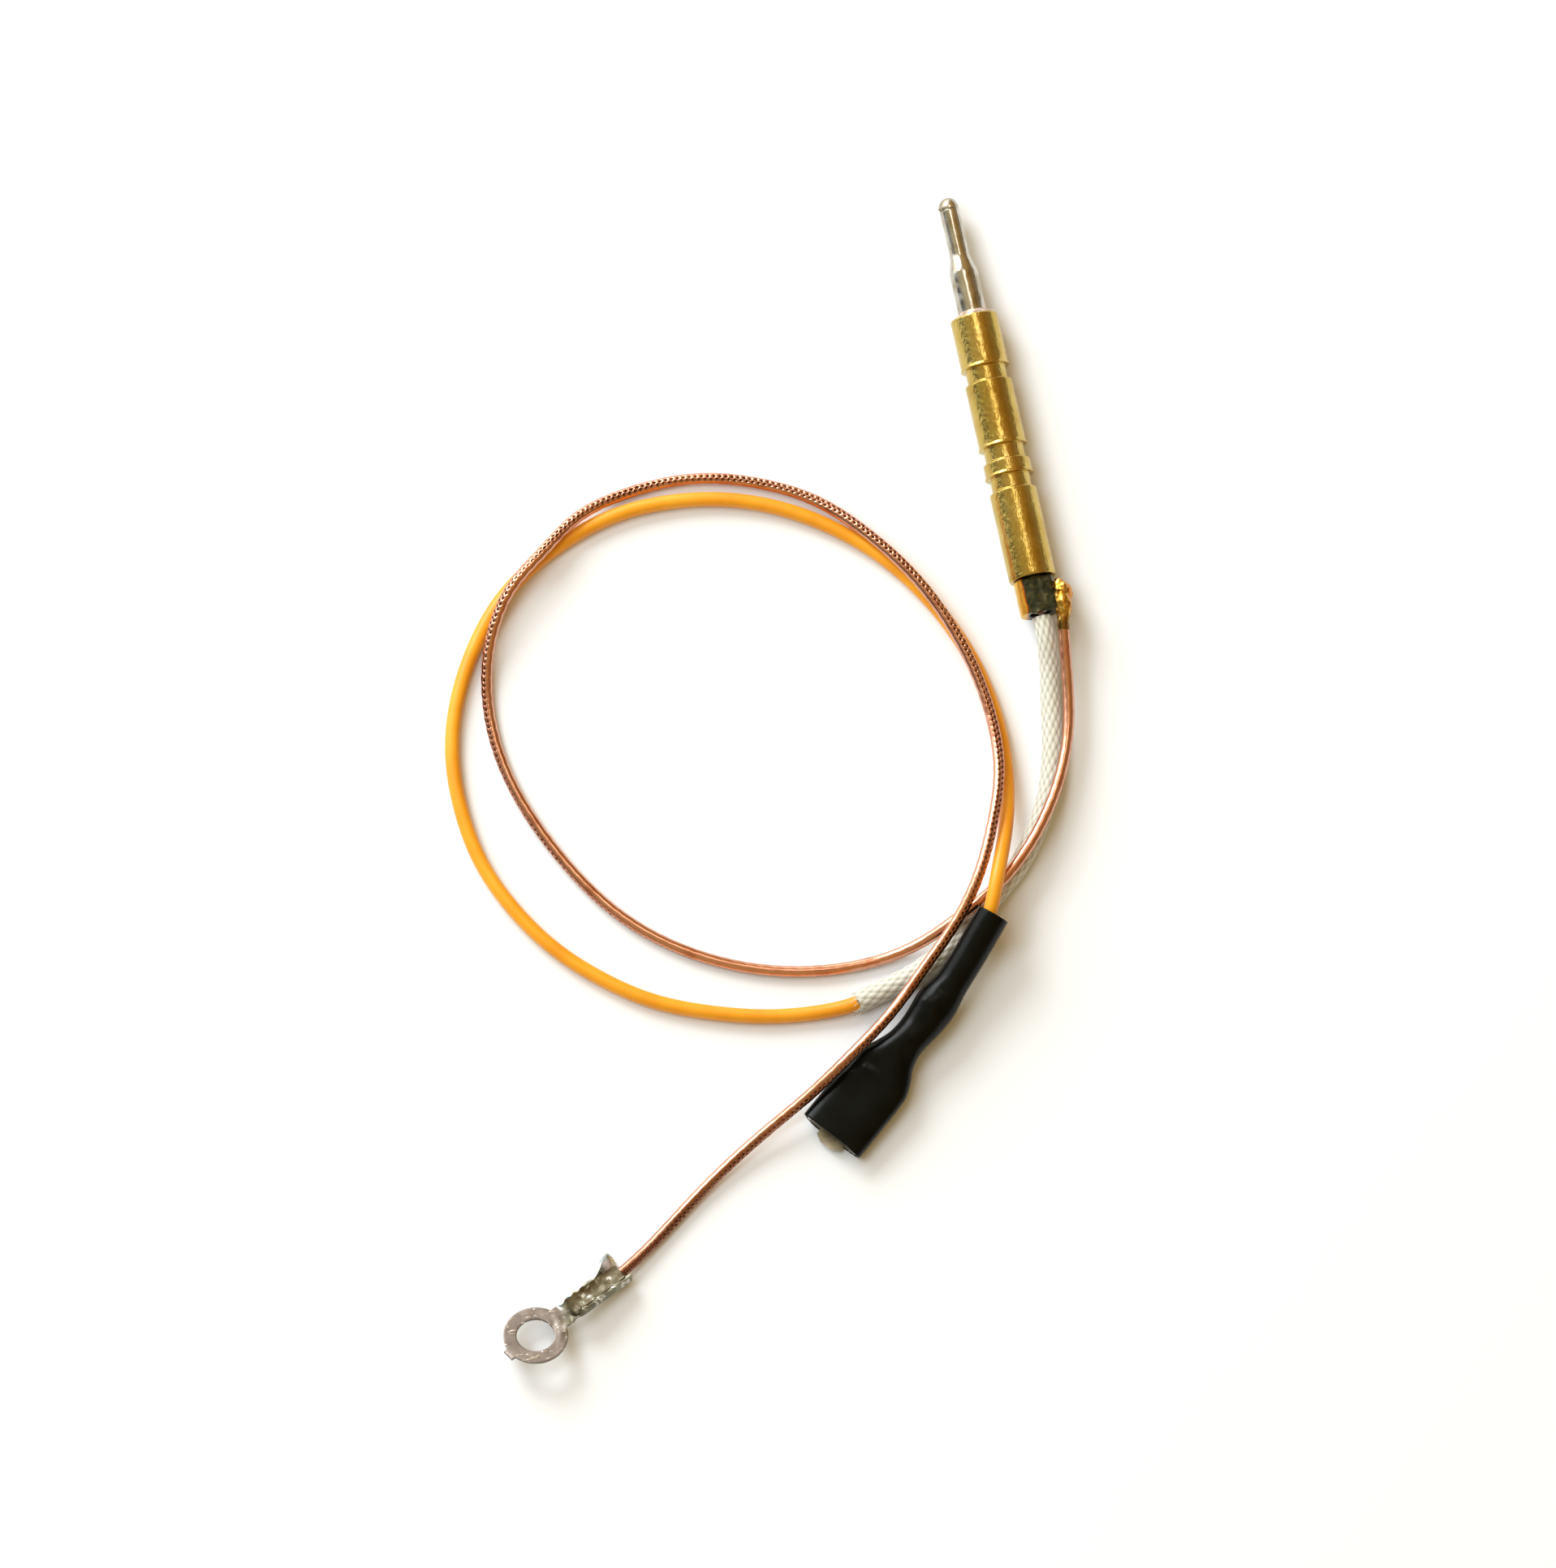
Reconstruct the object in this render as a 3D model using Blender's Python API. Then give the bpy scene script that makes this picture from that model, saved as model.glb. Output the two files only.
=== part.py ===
"""Split-lead thermocouple for a gas heater.

A probe stands in a grooved brass sleeve that pushes into a burner bracket. Two leads leave the
sleeve's tail: a bare copper one that ends in a ring terminal, and an insulated one that runs
through a woven glass-fibre sleeve to a spade receptacle under heat-shrink tubing.

Units are metres and +Z is up. The probe's axis is parallel to Y, with its tip towards +Y. The
origin lies under the middle of the probe and sleeve, on the surface that they rest on.
"""

import math

import bmesh
import bpy
import numpy as np
from mathutils import Matrix, Vector

MM = 0.001

# ---------------------------------------------------------------- fits
GAP = 0.3 * MM                    # between faces that touch on the real part
ROUND_SEGMENTS = 32               # facets round a turned piece

# ---------------------------------------------------------------- probe
CAP_LENGTH = 1.3 * MM             # weld bead that closes the tip
NOSE_DIAMETER = 2.45 * MM
NOSE_LENGTH = 6.0 * MM            # narrow front of the sheath, behind the bead
SHOULDER_LENGTH = 2.6 * MM
SHEATH_DIAMETER = 3.5 * MM
SHEATH_WALL = 0.3 * MM
NOSE_WALL = 0.37 * MM
PROBE_LENGTH = 15.5 * MM          # tip to the mouth of the brass sleeve
SHEATH_ENGAGEMENT = 14.0 * MM     # length of sheath inside the brass sleeve
ELEMENT_DIAMETER = 1.0 * MM
BRAZE_RING_HEIGHT = 0.45 * MM
BRAZE_RING_OVERLAP = 0.5 * MM     # how far the ring spreads over the sleeve's mouth

# ---------------------------------------------------------------- brass sleeve
SLEEVE_DIAMETER = 5.9 * MM
SLEEVE_LENGTH = 34.0 * MM
SLEEVE_CHAMFER = 0.15 * MM
GROOVE_STARTS = (6.65 * MM, 16.9 * MM, 20.7 * MM)    # measured from the sleeve's mouth
GROOVE_WIDTH = 1.9 * MM
GROOVE_DEPTH = 0.45 * MM
LIP_HEIGHT = 0.1 * MM             # burr that the grooving tool raises on the tip side
LIP_WIDTH = 0.4 * MM

# ---------------------------------------------------------------- tail
FERRULE_DIAMETER = 4.95 * MM
FERRULE_LENGTH = 4.2 * MM
FERRULE_BORE = 2.4 * MM
SPIGOT_LENGTH = 4.0 * MM          # part of the ferrule inside the brass sleeve
FLAT_DEPTH = 0.9 * MM             # press flat on the ferrule's upper side
FLAT_TILT = 6.0                   # degrees, towards +X
CONDUCTOR_DIAMETER = 0.6 * MM     # conductor of the insulated lead, inside the probe
SPLICE_LENGTH = 5.0 * MM
SPLICE_WALL = 0.3 * MM
WIRE_END_SPACE = 0.8 * MM         # between the two wire ends in the splice
REAR_INSULATOR_WALL = 0.35 * MM
BRAZE_RADII = (1.2 * MM, 2.0 * MM, 1.2 * MM)
BRAZE_ANGLE = 18.0                # degrees above +X, as seen along the axis
BRAZE_STANDOFF = 0.7 * MM         # centre of the braze outside the ferrule's wall

# ---------------------------------------------------------------- leads
COPPER_DIAMETER = 1.4 * MM
FIBRE_DIAMETER = 2.6 * MM
YELLOW_DIAMETER = 1.8 * MM
COPPER_SPACING = 3.95 * MM        # distance between the points of each tube
FIBRE_SPACING = 4.2 * MM
YELLOW_SPACING = 4.2 * MM
CORD_BEVEL_RESOLUTION = 2         # eight sides
SURFACE_CLEARANCE = 0.04 * MM     # least height of a lead's underside above the surface
ROUTE_TAIL = -27.0 * MM           # where the routes below take the ferrule's end face to be

# Routes in millimetres, tail of the probe first. They move along Y with the ferrule's end face.
FIBRE_ROUTE = (
    (0, -27.45, 3.05), (0, -30, 2.9), (-0.3, -33, 1.95), (-0.9, -36.3, 1.4), (-1.6, -40.5, 1.34),
    (-2.6, -45, 1.34), (-4.2, -49.5, 1.34), (-6.5, -53.5, 1.34), (-9.5, -57.2, 1.34),
    (-13.2, -60.3, 1.34), (-17.2, -63.5, 1.34), (-21.2, -66.2, 1.34), (-26, -68.3, 1.34),
    (-32.5, -69.9, 1.34),
)
YELLOW_ROUTE = (
    (-32.95, -70, 1.25), (-36, -70.1, 1), (-44.5, -69, 0.95), (-51, -67, 0.95),
    (-57.5, -64, 0.95), (-62.5, -60.3, 0.95), (-66.5, -56.4, 0.95), (-71.2, -49.5, 0.95),
    (-74, -42.5, 0.95), (-75, -34, 0.95), (-74.3, -27.2, 0.95), (-72, -20.8, 0.95),
    (-68.4, -14.9, 0.95), (-64, -10.1, 0.95), (-59.5, -7, 0.95), (-53.5, -4.3, 0.95),
    (-46.5, -2.8, 0.95), (-40.5, -2.9, 0.95), (-34, -4.2, 0.95), (-27.5, -7, 0.95),
    (-22, -10.8, 0.95), (-17.8, -14.8, 0.95), (-13.7, -20.4, 0.95), (-10.7, -26.5, 0.95),
    (-8.9, -32.5, 0.98), (-8.1, -39, 1.2), (-8.5, -46, 2.1), (-9.7, -51.5, 3.4),
    (-11.5, -56.5, 5.1), (-13, -60.2, 5.75), (-14.4, -63.2, 5.35), (-18.15, -67.9, 4.35),
    (-23.2, -72.75, 3.25), (-25.5, -74.63, 3.04),
)
COPPER_ROUTE = (
    (2.65, -27.5, 4.45), (2.1, -31, 4), (0.1, -42.2, 3.15), (-2.45, -48.3, 3.5),
    (-6.6, -54.3, 3.75), (-12.4, -59.5, 3.75), (-18.7, -62.7, 3.1), (-22, -63.9, 2.1),
    (-26.5, -64.9, 1), (-32.5, -65.2, 0.77), (-40.5, -64, 0.77), (-49.5, -60.3, 0.77),
    (-58.5, -53, 0.77), (-65, -42.5, 0.77), (-68.6, -31.5, 0.77), (-68.4, -20.2, 1.1),
    (-65.9, -13.6, 2.5), (-62.4, -9.2, 3.1), (-58.4, -6.2, 3.05), (-53, -2.5, 2.1),
    (-46.5, -0.6, 0.9), (-37.5, -0.6, 0.77), (-30.8, -2.6, 0.8), (-24.5, -6.1, 1.1),
    (-19.2, -11.6, 2.3), (-14.2, -19, 2.98), (-10.5, -28, 2.98), (-8.8, -38.5, 3.2),
    (-9.35, -45.5, 4.15), (-11.8, -52.6, 5.5), (-14.8, -58.5, 6), (-18.5, -63.3, 5.5),
    (-23.4, -67.9, 4.8), (-29, -72.9, 4.6), (-34.4, -76.8, 5), (-40.5, -80.4, 3.6),
    (-47, -83.6, 2), (-57, -89.5, 0.85), (-66.2, -95.9, 1.23), (-68.95, -97.55, 1.7),
)

# ---------------------------------------------------------------- heat-shrink tubing
# Centre line in millimetres, wire end first. Its last four points are the receptacle's axis.
SHRINK_ROUTE = (
    (-14, -63.5, 5.3), (-18.2, -68, 4.3), (-23.2, -72.75, 3.25), (-27.8, -76.5, 2.85),
    (-32, -79.95, 2.45), (-39.4, -86, 1.8),
)
SHRINK_WALL = 0.25 * MM
SHRINK_SLACK = 0.9 * MM           # between the insulated lead and the tubing's bore
SHRINK_SIDES = 26
SHRINK_RINGS = 22

# ---------------------------------------------------------------- spade receptacle
RECEPTACLE_WIDTH = 7.7 * MM       # outside, over the two rolled edges
ROLL_RADIUS = 1.0 * MM            # middle of the strip in a rolled edge
STRIP_THICKNESS = 0.4 * MM
BARREL_CLEARANCE = 0.35 * MM      # between a rolled barrel and what it holds
TAB_LENGTH = 1.2 * MM             # carrier tab that stands out of the heat-shrink
TAB_WIDTH = 3.6 * MM
TAB_TIP_WIDTH = 1.7 * MM
STRIPPED_DIAMETER = 1.2 * MM
STRIPPED_START = 12.6 * MM        # both measured from the front of the receptacle
STRIPPED_END = 17.5 * MM

# ---------------------------------------------------------------- ring terminal
RING_CENTRE = (-80.45 * MM, -103.1 * MM, 2.82 * MM)
RING_HEADING = 119.5              # degrees from +Y to the direction that the ring points in
RING_PITCH = 11.3                 # degrees that the ring is raised above its barrel
RING_ROLL = 14.4                  # degrees about its own length
PLATE_THICKNESS = 0.4 * MM
RING_DIAMETER = 8.0 * MM
RING_HOLE = 4.75 * MM
RING_SEGMENTS = 96
NECK_SEGMENTS = 12                # ring segments that the neck grows from
NUB_SEGMENTS = 6                  # ring segments that the carrier nub grows from
NUB_LENGTH = 0.5 * MM
NECK_END = 4.8 * MM               # all measured from the centre of the hole
BARREL_START = 6.2 * MM
BARREL_END = 13.9 * MM
BARREL_SET = 0.55 * MM            # how far the barrel is bent sideways from the eye's centre
BARREL_FLOOR = 0.3 * MM           # flat part of the channel's floor
BARREL_WING = 1.15 * MM           # straight wing above each bend
WING_FLARE = 1.3 * MM             # how far one wing bends out at the wire's end
SOLDER_START = 6.9 * MM
SOLDER_END = 12.4 * MM
SOLDER_HEIGHT = 1.35 * MM

# ---------------------------------------------------------------- derived sizes
AXIS_HEIGHT = SLEEVE_DIAMETER / 2 + LIP_HEIGHT
TIP = (PROBE_LENGTH + SLEEVE_LENGTH + GAP + FERRULE_LENGTH) / 2
MOUTH = TIP - PROBE_LENGTH
TAIL = MOUTH - SLEEVE_LENGTH
FERRULE_FACE = TAIL - GAP
FERRULE_END = FERRULE_FACE - FERRULE_LENGTH
SHEATH_RADIUS = SHEATH_DIAMETER / 2
SHEATH_BORE = SHEATH_RADIUS - SHEATH_WALL
SLEEVE_BORE = SHEATH_RADIUS + GAP
SHEATH_END = MOUTH - SHEATH_ENGAGEMENT
ELEMENT_RADIUS = ELEMENT_DIAMETER / 2
SPLICE_BORE = ELEMENT_RADIUS + GAP
SPLICE_RADIUS = SPLICE_BORE + SPLICE_WALL
SPLICE_FRONT = SHEATH_END - GAP
SPLICE_BACK = SPLICE_FRONT - SPLICE_LENGTH
WIRE_JOIN = (SPLICE_FRONT + SPLICE_BACK) / 2
CONDUCTOR_RADIUS = CONDUCTOR_DIAMETER / 2
SPIGOT_END = FERRULE_FACE + SPIGOT_LENGTH
HARNESS_SHIFT = (0.0, FERRULE_END - ROUTE_TAIL, 0.0)
EYE_BARREL_WIDTH = COPPER_DIAMETER + 2 * BARREL_CLEARANCE + 2 * PLATE_THICKNESS
HALF_FLOOR = RECEPTACLE_WIDTH / 2 - ROLL_RADIUS - STRIP_THICKNESS / 2
WIRE_ROLL = STRIPPED_DIAMETER / 2 + BARREL_CLEARANCE + STRIP_THICKNESS / 2
INSULATION_ROLL = YELLOW_DIAMETER / 2 + BARREL_CLEARANCE + STRIP_THICKNESS / 2
MIDDLE_ROLL = (WIRE_ROLL + INSULATION_ROLL) / 2
# Receptacle: distance from the front, half floor, bend radius, bend angle in degrees.
RECEPTACLE_SECTIONS = (
    (0.1 * MM, HALF_FLOOR, ROLL_RADIUS, 205.0),
    (7.7 * MM, HALF_FLOOR, ROLL_RADIUS, 205.0),
    (8.7 * MM, HALF_FLOOR * 0.83, ROLL_RADIUS * 0.95, 120.0),
    (10.6 * MM, HALF_FLOOR * 0.34, ROLL_RADIUS * 0.9, 80.0),
    (12.2 * MM, 0.05 * MM, WIRE_ROLL, 150.0),
    (16.2 * MM, 0.05 * MM, WIRE_ROLL, 150.0),
    (17.0 * MM, 0.05 * MM, MIDDLE_ROLL, 95.0),
    (17.8 * MM, 0.05 * MM, INSULATION_ROLL, 150.0),
    (21.6 * MM, 0.05 * MM, INSULATION_ROLL, 150.0),
)
BOX_HALF_WIDTH = RECEPTACLE_WIDTH / 2 + GAP + SHRINK_WALL
BOX_HALF_HEIGHT = ROLL_RADIUS + STRIP_THICKNESS / 2 + GAP + SHRINK_WALL
WAIST = INSULATION_ROLL + STRIP_THICKNESS / 2 + 0.2 * MM + SHRINK_WALL
ROUND_END = YELLOW_DIAMETER / 2 + SHRINK_SLACK + SHRINK_WALL
# Tubing: distance from the open front, half width, half height, squareness (2 is an ellipse).
SHRINK_SECTIONS = (
    (34.2 * MM, ROUND_END, ROUND_END, 2.0),
    (24.5 * MM, ROUND_END, ROUND_END, 2.0),
    (21.1 * MM, WAIST + 0.55 * MM, WAIST + 0.3 * MM, 2.0),
    (18.3 * MM, WAIST + 0.35 * MM, WAIST + 0.2 * MM, 2.1),
    (14.7 * MM, WAIST + 0.18 * MM, WAIST, 2.2),
    (9.6 * MM, BOX_HALF_WIDTH - 0.05 * MM, BOX_HALF_HEIGHT + 0.03 * MM, 3.6),
    (7.0 * MM, BOX_HALF_WIDTH, BOX_HALF_HEIGHT, 4.0),
    (0.0 * MM, BOX_HALF_WIDTH, BOX_HALF_HEIGHT, 4.0),
)


# ---------------------------------------------------------------- helpers
def clear_scene():
    """Remove whatever the opened file holds."""
    for item in list(bpy.data.objects):
        bpy.data.objects.remove(item, do_unlink=True)


def finish(name, colour, roughness, metallic=0.0):
    """A plain Principled material."""
    material = bpy.data.materials.new(name)
    material.use_nodes = True
    shader = material.node_tree.nodes["Principled BSDF"]
    shader.inputs["Base Color"].default_value = (*colour, 1.0)
    shader.inputs["Roughness"].default_value = roughness
    shader.inputs["Metallic"].default_value = metallic
    material.diffuse_color = (*colour, 1.0)
    return material


def add_object(name, data, material, smooth_angle=35.0):
    """Put a mesh into the scene, shaded smooth between its sharp edges."""
    item = bpy.data.objects.new(name, data)
    bpy.context.scene.collection.objects.link(item)
    data.materials.append(material)
    if isinstance(data, bpy.types.Mesh):
        data.shade_smooth()
        data.set_sharp_from_angle(angle=math.radians(smooth_angle))
    return item


def mesh_from(name, verts, faces):
    """A mesh with merged doubles and faces that point out."""
    work = bmesh.new()
    corners = [work.verts.new(vert) for vert in verts]
    for face in faces:
        work.faces.new([corners[index] for index in face])
    bmesh.ops.remove_doubles(work, verts=work.verts, dist=1e-7)
    bmesh.ops.recalc_face_normals(work, faces=work.faces)
    mesh = bpy.data.meshes.new(name)
    work.to_mesh(mesh)
    work.free()
    return mesh


def turned(name, profile, material):
    """A piece turned about the probe's axis from (position along Y, radius) points.

    A profile that starts and ends on the axis is a solid piece. Any other is closed on itself
    and makes a piece with a bore.
    """
    work = bmesh.new()
    verts = [work.verts.new((radius, along, 0.0)) for along, radius in profile]
    edges = [work.edges.new(pair) for pair in zip(verts, verts[1:])]
    if profile[0][1] > 0.0:
        edges.append(work.edges.new((verts[-1], verts[0])))
    bmesh.ops.spin(
        work, geom=verts + edges, cent=(0, 0, 0), axis=(0, 1, 0),
        angle=2 * math.pi, steps=ROUND_SEGMENTS, use_merge=True,
    )
    bmesh.ops.remove_doubles(work, verts=work.verts, dist=1e-7)
    bmesh.ops.recalc_face_normals(work, faces=work.faces)
    mesh = bpy.data.meshes.new(name)
    work.to_mesh(mesh)
    work.free()
    item = add_object(name, mesh, material)
    item.location = (0, 0, AXIS_HEIGHT)
    return item


def hollow(front, back, outer, inner):
    """Profile of a plain tube between two positions along Y."""
    return [(front, outer), (back, outer), (back, inner), (front, inner)]


def rod(front, back, radius):
    """Profile of a plain solid rod between two positions along Y."""
    return [(front, 0.0), (front, radius), (back, radius), (back, 0.0)]


def route_knots(route):
    """A route's points in metres, moved along with the end of the probe's tail."""
    return np.array(route, dtype=float) * MM + np.array(HARNESS_SHIFT)


def smooth_route(knots, spacing):
    """Evenly spaced points on the natural cubic spline through the knots.

    The spline's parameter is the distance along the chords. Its second derivatives are zero at
    both ends and follow from one tridiagonal system in between.
    """
    chord = np.linalg.norm(np.diff(knots, axis=0), axis=1)
    at = np.concatenate([[0.0], np.cumsum(chord)])
    count = len(knots)
    system = np.eye(count)
    right = np.zeros((count, 3))
    slope = np.diff(knots, axis=0) / chord[:, None]
    inner = np.arange(1, count - 1)
    system[inner, inner - 1] = chord[:-1]
    system[inner, inner] = 2 * (chord[:-1] + chord[1:])
    system[inner, inner + 1] = chord[1:]
    right[1:-1] = 6 * (slope[1:] - slope[:-1])
    bend = np.linalg.solve(system, right)

    def point_at(parameter):
        piece = np.clip(np.searchsorted(at, parameter, side="right") - 1, 0, count - 2)
        width = chord[piece][:, None]
        after = (parameter - at[piece])[:, None]
        before = width - after
        curved = (bend[piece] * before**3 + bend[piece + 1] * after**3) / (6 * width)
        straight = (knots[piece] / width - bend[piece] * width / 6) * before
        straight += (knots[piece + 1] / width - bend[piece + 1] * width / 6) * after
        return curved + straight

    fine_parameter = np.linspace(0.0, at[-1], 4001)
    fine = point_at(fine_parameter)
    run = np.concatenate([[0.0], np.cumsum(np.linalg.norm(np.diff(fine, axis=0), axis=1))])
    stations = max(2, round(run[-1] / spacing) + 1)
    return point_at(np.interp(np.linspace(0.0, run[-1], stations), run, fine_parameter))


def cord(name, route, diameter, spacing, material):
    """A lead: a curve along its smooth route, with a round section and filled ends."""
    curve = bpy.data.curves.new(name, "CURVE")
    curve.dimensions = "3D"
    curve.bevel_depth = diameter / 2
    curve.bevel_resolution = CORD_BEVEL_RESOLUTION
    curve.use_fill_caps = True
    knots = route_knots(route)
    knots[:, 2] = np.maximum(knots[:, 2], diameter / 2 + SURFACE_CLEARANCE)
    points = smooth_route(knots, spacing)
    line = curve.splines.new("POLY")
    line.points.add(len(points) - 1)
    line.points.foreach_set("co", np.insert(points, 3, 1.0, axis=1).ravel())
    return add_object(name, curve, material)


def between(sections, distance):
    """Section values at a distance, eased from one listed section to the next."""
    table = np.array(sections, dtype=float)
    table = table[np.argsort(table[:, 0])]
    piece = int(np.clip(np.searchsorted(table[:, 0], distance) - 1, 0, len(table) - 2))
    low, high = table[piece], table[piece + 1]
    share = float(np.clip((distance - low[0]) / (high[0] - low[0]), 0.0, 1.0))
    share = share * share * (3 - 2 * share)
    return low[1:] + (high[1:] - low[1:]) * share


def strip_columns(half_floor, radius, bend, wing, bend_steps):
    """Half of a bent strip's section as (x, z) points, from its middle out to its edge.

    The strip is flat for half_floor, bends up round the radius through the bend angle, and goes
    on straight for the wing's length. z is zero on the flat floor.
    """
    points = [(0.0, 0.0), (half_floor, 0.0)]
    for step in range(1, bend_steps + 1):
        angle = bend * step / bend_steps
        points.append((half_floor + radius * math.sin(angle), radius * (1 - math.cos(angle))))
    end_x, end_z = points[-1]
    if wing > 0.0:
        points.append((end_x + wing * math.cos(bend), end_z + wing * math.sin(bend)))
    return points


def mirrored(columns):
    """Both halves of a section, from its -X edge to its +X edge."""
    return [(-x, z) for x, z in reversed(columns[1:])] + list(columns)


def grid_faces(rows, columns, first=0):
    """Quads of a grid whose vertices run row by row."""
    faces = []
    for row in range(rows - 1):
        for column in range(columns - 1):
            corner = first + row * columns + column
            faces.append((corner, corner + 1, corner + columns + 1, corner + columns))
    return faces


def give_thickness(item, thickness):
    """Turn a sheet into a closed wall, half of it on each side of the sheet."""
    wall = item.modifiers.new("wall", "SOLIDIFY")
    wall.thickness = thickness
    wall.offset = 0.0
    wall.use_even_offset = True


def cut(item, cutter):
    """Subtract a closed cutter, which is kept as a hidden guide."""
    cutter.hide_render = True
    cutter.display_type = "WIRE"
    tool = item.modifiers.new("cut", "BOOLEAN")
    tool.operation = "DIFFERENCE"
    tool.solver = "EXACT"
    tool.object = cutter


def receptacle_frame():
    """Place and turn of the receptacle: +Y points out of its front, +Z out of its open side."""
    knots = route_knots(SHRINK_ROUTE)
    front = Vector(knots[-1])
    back = Vector(knots[-4])
    outward = (front - back).normalized()
    side = outward.cross(Vector((0, 0, 1))).normalized()
    up = side.cross(outward)
    turn = Matrix((side, outward, up)).transposed()
    return Matrix.Translation(front) @ turn.to_4x4()


# ---------------------------------------------------------------- probe
def make_tip_weld_cap(material):
    """Domed weld bead that joins the element wire to the sheath at the tip."""
    radius = NOSE_DIAMETER / 2
    steps = 8
    profile = []
    for step in range(steps + 1):
        angle = math.pi / 2 * step / steps
        along = TIP - CAP_LENGTH * (1 - math.cos(angle))
        profile.append((along, radius * math.sin(angle)))
    profile.append((TIP - CAP_LENGTH, 0.0))
    turned("tip_weld_cap", profile, material)


def make_probe_sheath(material):
    """Steel sheath: a narrow nose, a tapered shoulder and the body inside the brass sleeve."""
    nose_radius = NOSE_DIAMETER / 2
    nose_bore = nose_radius - NOSE_WALL
    front = TIP - CAP_LENGTH - GAP
    nose_end = TIP - CAP_LENGTH - NOSE_LENGTH
    body_start = nose_end - SHOULDER_LENGTH
    profile = [(front, nose_bore), (front, nose_radius), (nose_end, nose_radius)]
    steps = 5
    for step in range(1, steps):
        share = step / steps
        rise = (1 - math.cos(math.pi * share)) / 2
        profile.append((
            nose_end - SHOULDER_LENGTH * share,
            nose_radius + (SHEATH_RADIUS - nose_radius) * rise,
        ))
    profile += [
        (body_start, SHEATH_RADIUS), (SHEATH_END, SHEATH_RADIUS), (SHEATH_END, SHEATH_BORE),
        (body_start, SHEATH_BORE), (nose_end, nose_bore),
    ]
    turned("probe_sheath", profile, material)


def make_element_wire(material):
    """Constantan wire from the tip's weld back to the splice."""
    front = TIP - CAP_LENGTH - GAP
    back = WIRE_JOIN + WIRE_END_SPACE / 2
    turned("element_wire", rod(front, back, ELEMENT_RADIUS), material)


def make_body_insulator(material):
    """Insulating tube that keeps the element wire off the sheath's wall."""
    inner = ELEMENT_RADIUS + GAP
    outer = SHEATH_BORE - GAP
    front = TIP - CAP_LENGTH - NOSE_LENGTH - SHOULDER_LENGTH - GAP
    turned("body_insulator", hollow(front, SHEATH_END + GAP, outer, inner), material)


def make_probe_braze_ring(material):
    """Fillet of braze between the sheath and the mouth of the brass sleeve."""
    inner = SHEATH_RADIUS + GAP
    outer = inner + BRAZE_RING_OVERLAP
    base = MOUTH + GAP
    profile = [
        (base, inner), (base + BRAZE_RING_HEIGHT, inner),
        (base + BRAZE_RING_HEIGHT * 0.45, inner + BRAZE_RING_OVERLAP * 0.35),
        (base + BRAZE_RING_HEIGHT * 0.2, outer), (base, outer),
    ]
    turned("probe_braze_ring", profile, material)


# ---------------------------------------------------------------- brass sleeve
def make_mounting_sleeve(material):
    """Brass sleeve with three retaining grooves, each with a burr on its tip side."""
    radius = SLEEVE_DIAMETER / 2
    profile = [
        (MOUTH, SLEEVE_BORE), (MOUTH, radius - SLEEVE_CHAMFER), (MOUTH - SLEEVE_CHAMFER, radius),
    ]
    for start in GROOVE_STARTS:
        edge = MOUTH - start
        profile += [
            (edge + LIP_WIDTH, radius),
            (edge + LIP_WIDTH * 0.3, radius + LIP_HEIGHT),
            (edge, radius + LIP_HEIGHT * 0.6),
            (edge, radius - GROOVE_DEPTH),
            (edge - GROOVE_WIDTH, radius - GROOVE_DEPTH),
            (edge - GROOVE_WIDTH, radius),
        ]
    profile += [
        (TAIL + SLEEVE_CHAMFER, radius), (TAIL, radius - SLEEVE_CHAMFER), (TAIL, SLEEVE_BORE),
    ]
    turned("mounting_sleeve", profile, material)


# ---------------------------------------------------------------- tail
def make_conductor_splice(material):
    """Crimp tube that joins the element wire to the insulated lead's conductor."""
    profile = hollow(SPLICE_FRONT, SPLICE_BACK, SPLICE_RADIUS, SPLICE_BORE)
    turned("conductor_splice", profile, material)


def make_inner_conductor(material):
    """Bare end of the insulated lead, from the splice out through the ferrule."""
    front = WIRE_JOIN - WIRE_END_SPACE / 2
    turned("inner_conductor", rod(front, FERRULE_END, CONDUCTOR_RADIUS), material)


def make_rear_insulator(material):
    """Insulating tube over the conductor, between the splice and the ferrule."""
    inner = CONDUCTOR_RADIUS + GAP
    outer = inner + REAR_INSULATOR_WALL
    profile = hollow(SPLICE_BACK - GAP, SPIGOT_END + GAP, outer, inner)
    turned("rear_insulator", profile, material)


def make_tail_bush(material):
    """Insulating bush that centres the conductor in the ferrule."""
    inner = CONDUCTOR_RADIUS + GAP
    outer = FERRULE_BORE / 2 - GAP
    turned("tail_bush", hollow(SPIGOT_END, FERRULE_END + GAP, outer, inner), material)


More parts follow.
